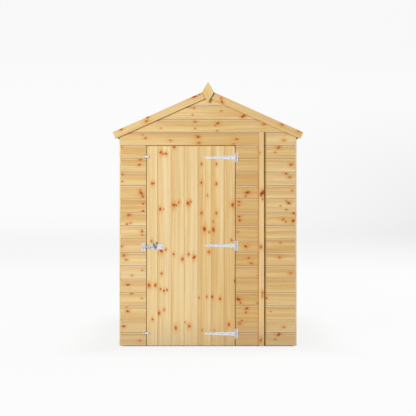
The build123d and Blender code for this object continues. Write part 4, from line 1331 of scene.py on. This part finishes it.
# Nails: two in every board at each stud, and at each ledge of the door
nailMake = {
    "radius": 1.5 * mm,
    "rings": [0.6, 1.0, 1.0],
    "rises": [0.35, 0.15, -0.6],  # in millimetres
    "press": 0.0,
    "sides": 8,
    "inset": 24 * mm,  # above the lower edge, and twice that below the upper one
    "foot": 20 * mm,  # none this near the ground
    "hidden": 30 * mm,  # none this near the middle of a cover strip
    "stripClear": 5 * mm,
    "doorAside": 28 * mm,  # from a door board's middle
    "doorAbove": 26 * mm,  # over a ledge's middle
}
nailHeights = np.concatenate([
    rowBottoms + nailMake["inset"],
    rowBottoms + shiplap["cover"] - 2 * nailMake["inset"],
])
nailHeights = nailHeights[nailHeights > wallFoot + nailMake["foot"]]
stripMiddle = sum(stripEdges) / 2
stripInner = stripHigh[1] - stripMake["width"] - nailMake["stripClear"]


def wallNails(levels, heights, fixed, axis):
    level, height = np.meshgrid(levels, heights)
    spots = np.zeros((level.size, 3))
    spots[:, axis], spots[:, 2], spots[:, 1 - axis] = level.ravel(), height.ravel(), fixed
    return spots


def studLine(node):
    return [x for x in middlesOf(solidBoxes(node), 0) if abs(x - stripMiddle) > nailMake["hidden"]]


frontStuds = [x for x in studLine("front_studs") if not doorLow[0] < x < doorHigh[0]]
sideStuds = [y for y in middlesOf(solidBoxes("side_studs"), 1) if abs(y) < stripInner]
nailSets = [
    (wallNails(frontStuds, nailHeights, wallFace, 0), *outFaces["front"]),
    (wallNails(studLine("back_studs"), nailHeights, -wallFace, 0), *outFaces["back"]),
    (wallNails(sideStuds, nailHeights, -gableHalf, 1), *outFaces["left"]),
    (wallNails(sideStuds, nailHeights, gableHalf, 1), *outFaces["right"]),
]
roundHeads("claddingNails", "shed", nailSets, nailMake)
ledgeLevels = [float(low[2] + high[2]) / 2 for low, high in solidBoxes("door_ledges")]
doorMiddles = (doorEdges[1:] + doorEdges[:-1]) / 2
doorColumns = np.concatenate([doorMiddles - nailMake["doorAside"], doorMiddles + nailMake["doorAside"]])
doorNailSpots = wallNails(doorColumns, np.array(ledgeLevels) + nailMake["doorAbove"], wallFace, 0)
roundHeads("doorNails", "door", [(doorNailSpots, *outFaces["front"])], nailMake)

# Clout nails: along both edges of the ridge strip, down the eaves and up the ends of the felt
cloutMake = {
    "radius": 5 * mm,
    "rings": [0.3, 0.75, 1.0, 1.0],
    "rises": [1.4, 1.1, 0.3, -1.0],  # in millimetres
    "press": 0.0,
    "sides": 10,
    "alongRoof": 19,
    "endInset": 30 * mm,
    "ridgeInset": 15 * mm,
    "lipHeight": 1787 * mm,
    "upSlope": 7,
    "slopeReach": (150 * mm, 730 * mm),
    "slopeInset": 18 * mm,
}


def rowOf(x, y, z):  # places from numbers and lists of numbers
    return np.stack(np.broadcast_arrays(x, y, z), 1)


inset = cloutMake["endInset"]
cloutLine = np.linspace(ridgeLow[1] + inset, ridgeHigh[1] - inset, cloutMake["alongRoof"])
cloutRidge = ridgeHigh[0] - cloutMake["ridgeInset"]
cloutLip = railOut + feltMake["thick"]
cloutSlope = np.linspace(*cloutMake["slopeReach"], cloutMake["upSlope"])
feltTop = roofPeak + feltMake["thick"] / math.cos(pitch)
cloutSets = []
for word, side in roofSides:
    along, outward = slopeAxes(side)
    ways = (along * side, axisY, outward)
    cloutSets.append((rowOf(side * cloutRidge, cloutLine, ridgeHigh[2] - cloutRidge * slope), *ways))
    cloutSets.append((rowOf(side * cloutLip, cloutLine, cloutMake["lipHeight"]), *outFaces[word]))
    for edge in (ridgeLow[1] + cloutMake["slopeInset"], ridgeHigh[1] - cloutMake["slopeInset"]):
        cloutSets.append((rowOf(side * cloutSlope, edge, feltTop - cloutSlope * slope), *ways))
roundHeads("feltCloutNails", "shed", cloutSets, cloutMake)
dress(hingeZinc, "hinge_straps", "hinge_plates")
dress(brightZinc, "pad_bolt_plate", "pad_bolt_keeper", "turn_button_top", "turn_button_bottom")
dress(boltZinc, "pad_bolt_rod")
dress(dullZinc, "turn_button_screws")
print("hardware done")

# Stage: pale floor that turns up into a backdrop, soft light, camera square to the front
stageMake = {"half": 14.0, "near": -14.0, "far": 7.0, "bend": 3.0, "height": 9.0, "bendPoints": 17}
floorMake = {  # what the camera sees of floor and backdrop
    "colour": tint(226, 226, 226),
    "glow": 1.0,
    "share": 0.94,  # of the glow, where no shadow falls
    "under": 40 * mm,  # the glow starts this far in under the walls
    "nearShed": 0.6,  # floor by the walls shows more of its own shade
    "nearShade": 0.12,
    "foot": 0.45,  # painted shade at the foot of the backdrop, as less glow
    "footWide": 0.4,
    "footStart": (0.0, 0.2),
    "footDim": 0.045,
    "rightMost": 4.0,  # painted shade to the right: the glow dims up to here
    "rightStart": (0.2, 0.8),
    "rightEnd": (0.6, 4.0),
    "rightDim": 0.026,
    # painted shade at the top
    "topStart": (3.2, 4.6),
    "topDim": 0.022,
}
lightMake = {
    "sky": 0.3,
    "skyGlow": 0.95,
    "aim": (0.0, -0.9, 1.1),
    "key": {"energy": 905.0, "size": 1.2, "place": (-6.5, -9.9, 3.2)},
    "fill": {"energy": 340.0, "size": 5.0, "place": (6.5, 5.5, 4.5)},  # for what the key leaves dark
}
cameraMake = {
    "distance": 7.5,  # from the front boards
    "height": 1173.5 * mm,  # the photograph's level line
    "pixel": 8.473 * mm,  # size of one picture element at the front boards
    "frame": 416,
    "sensor": 36.0,
}


def seenRays(tree):  # rays that come straight from the camera, or by way of metal or glass
    rays = wiresOf(tree, tree.nodes.new("ShaderNodeLightPath"))
    bent = calc("MAXIMUM", rays["Is Glossy Ray"], rays["Is Transmission Ray"])
    return calc("MAXIMUM", rays["Is Camera Ray"], bent)


# Floor and backdrop glow for the camera, with painted shade where it is less: up the foot of the backdrop,
# to the right and at the top; and none under the shed, so that its shadow shows
def makePaleFloor():
    material, tree, shader = newMaterial("paleFloor", {"Roughness": 0.9, "Specular IOR Level": 0.1})
    shader.inputs["Base Color"].default_value = floorMake["colour"]
    x, y, z = apart(objectPlace(tree))
    rise = (z - floorMake["foot"]) / floorMake["footWide"]
    foot = calc("EXPONENT", rise * rise * -1.0) * ease(z, *floorMake["footStart"])
    right = calc("MINIMUM", positive(x), floorMake["rightMost"]) * ease(z, *floorMake["rightStart"])
    right = right * ease(z, *floorMake["rightEnd"], 1.0, 0.0)
    top = ease(z, *floorMake["topStart"])
    dip = foot * floorMake["footDim"] + right * floorMake["rightDim"] + top * floorMake["topDim"]
    glow = tree.nodes.new("ShaderNodeEmission")
    feed(glow.inputs["Strength"], dip * -floorMake["glow"] + floorMake["glow"])
    outX, outY = calc("ABSOLUTE", x) - roofFoot, calc("ABSOLUTE", y) + wallFace
    away = calc("MAXIMUM", outX, outY)  # below 0 under the shed
    share = ease(away, -floorMake["under"], 0.0) * floorMake["share"]
    share = share * ease(away, 0.0, floorMake["nearShed"], 1.0 - floorMake["nearShade"], 1.0)
    blend = tree.nodes.new("ShaderNodeMixShader")
    feed(blend.inputs[0], seenRays(tree) * share)
    tree.links.new(shader.outputs[0], blend.inputs[1])
    tree.links.new(glow.outputs[0], blend.inputs[2])
    tree.links.new(blend.outputs[0], tree.nodes["Material Output"].inputs["Surface"])
    return material


# Sweep: floor, a quarter circle, then an upright wall, carried from left to right
def makeStage():
    turn = np.linspace(0.0, np.pi / 2, stageMake["bendPoints"])
    bend, far = stageMake["bend"], stageMake["far"]
    y = np.concatenate([[stageMake["near"]], far + bend * np.sin(turn), [far + bend]])
    z = np.concatenate([[0.0], bend * (1 - np.cos(turn)), [stageMake["height"]]])
    left = np.stack([np.full(y.shape, -stageMake["half"]), y, z], -1)
    points = np.stack([left, left * np.array([-1.0, 1.0, 1.0])])
    n = np.arange(len(y) - 1)
    faces = quads(n, n + len(y), n + len(y) + 1, n + 1)
    fillMesh("paleFloor", points, [faces], [makePaleFloor()])


def makeLight(name, make):
    lamp = bpy.data.lights.new(name, "AREA")
    lamp.energy = make["energy"]
    lamp.shape = "DISK"
    lamp.size = make["size"]
    holder = bpy.data.objects.new(name, lamp)
    holder.location = make["place"]
    x, y, z = np.array(lightMake["aim"]) - np.array(make["place"])
    holder.rotation_euler = (math.atan2(math.hypot(x, y), -z), 0.0, math.atan2(-x, y))
    bpy.context.scene.collection.objects.link(holder)


def makeWorld():
    world = bpy.data.worlds.new("paleSky")
    world.use_nodes = True
    bpy.context.scene.world = world
    sky = world.node_tree.nodes["Background"].inputs
    strength = ease(seenRays(world.node_tree), 0.0, 1.0, lightMake["sky"], lightMake["skyGlow"])
    feed(sky["Strength"], strength)
    sky["Color"].default_value = (1.0, 1.0, 1.0, 1.0)


def makeCamera():
    data = bpy.data.cameras.new("frontCamera")
    data.sensor_width = cameraMake["sensor"]
    data.lens = data.sensor_width * cameraMake["distance"] / (cameraMake["pixel"] * cameraMake["frame"])
    camera = bpy.data.objects.new("frontCamera", data)
    camera.location = (0.0, wallFace - cameraMake["distance"], cameraMake["height"])
    camera.rotation_euler = (math.pi / 2, 0.0, 0.0)
    bpy.context.scene.collection.objects.link(camera)
    bpy.context.scene.camera = camera


makeStage()
makeWorld()
makeLight("keyLight", lightMake["key"])
makeLight("fillLight", lightMake["fill"])
makeCamera()
bpy.context.scene.view_settings.view_transform = "Standard"
print("stage, light and camera set")
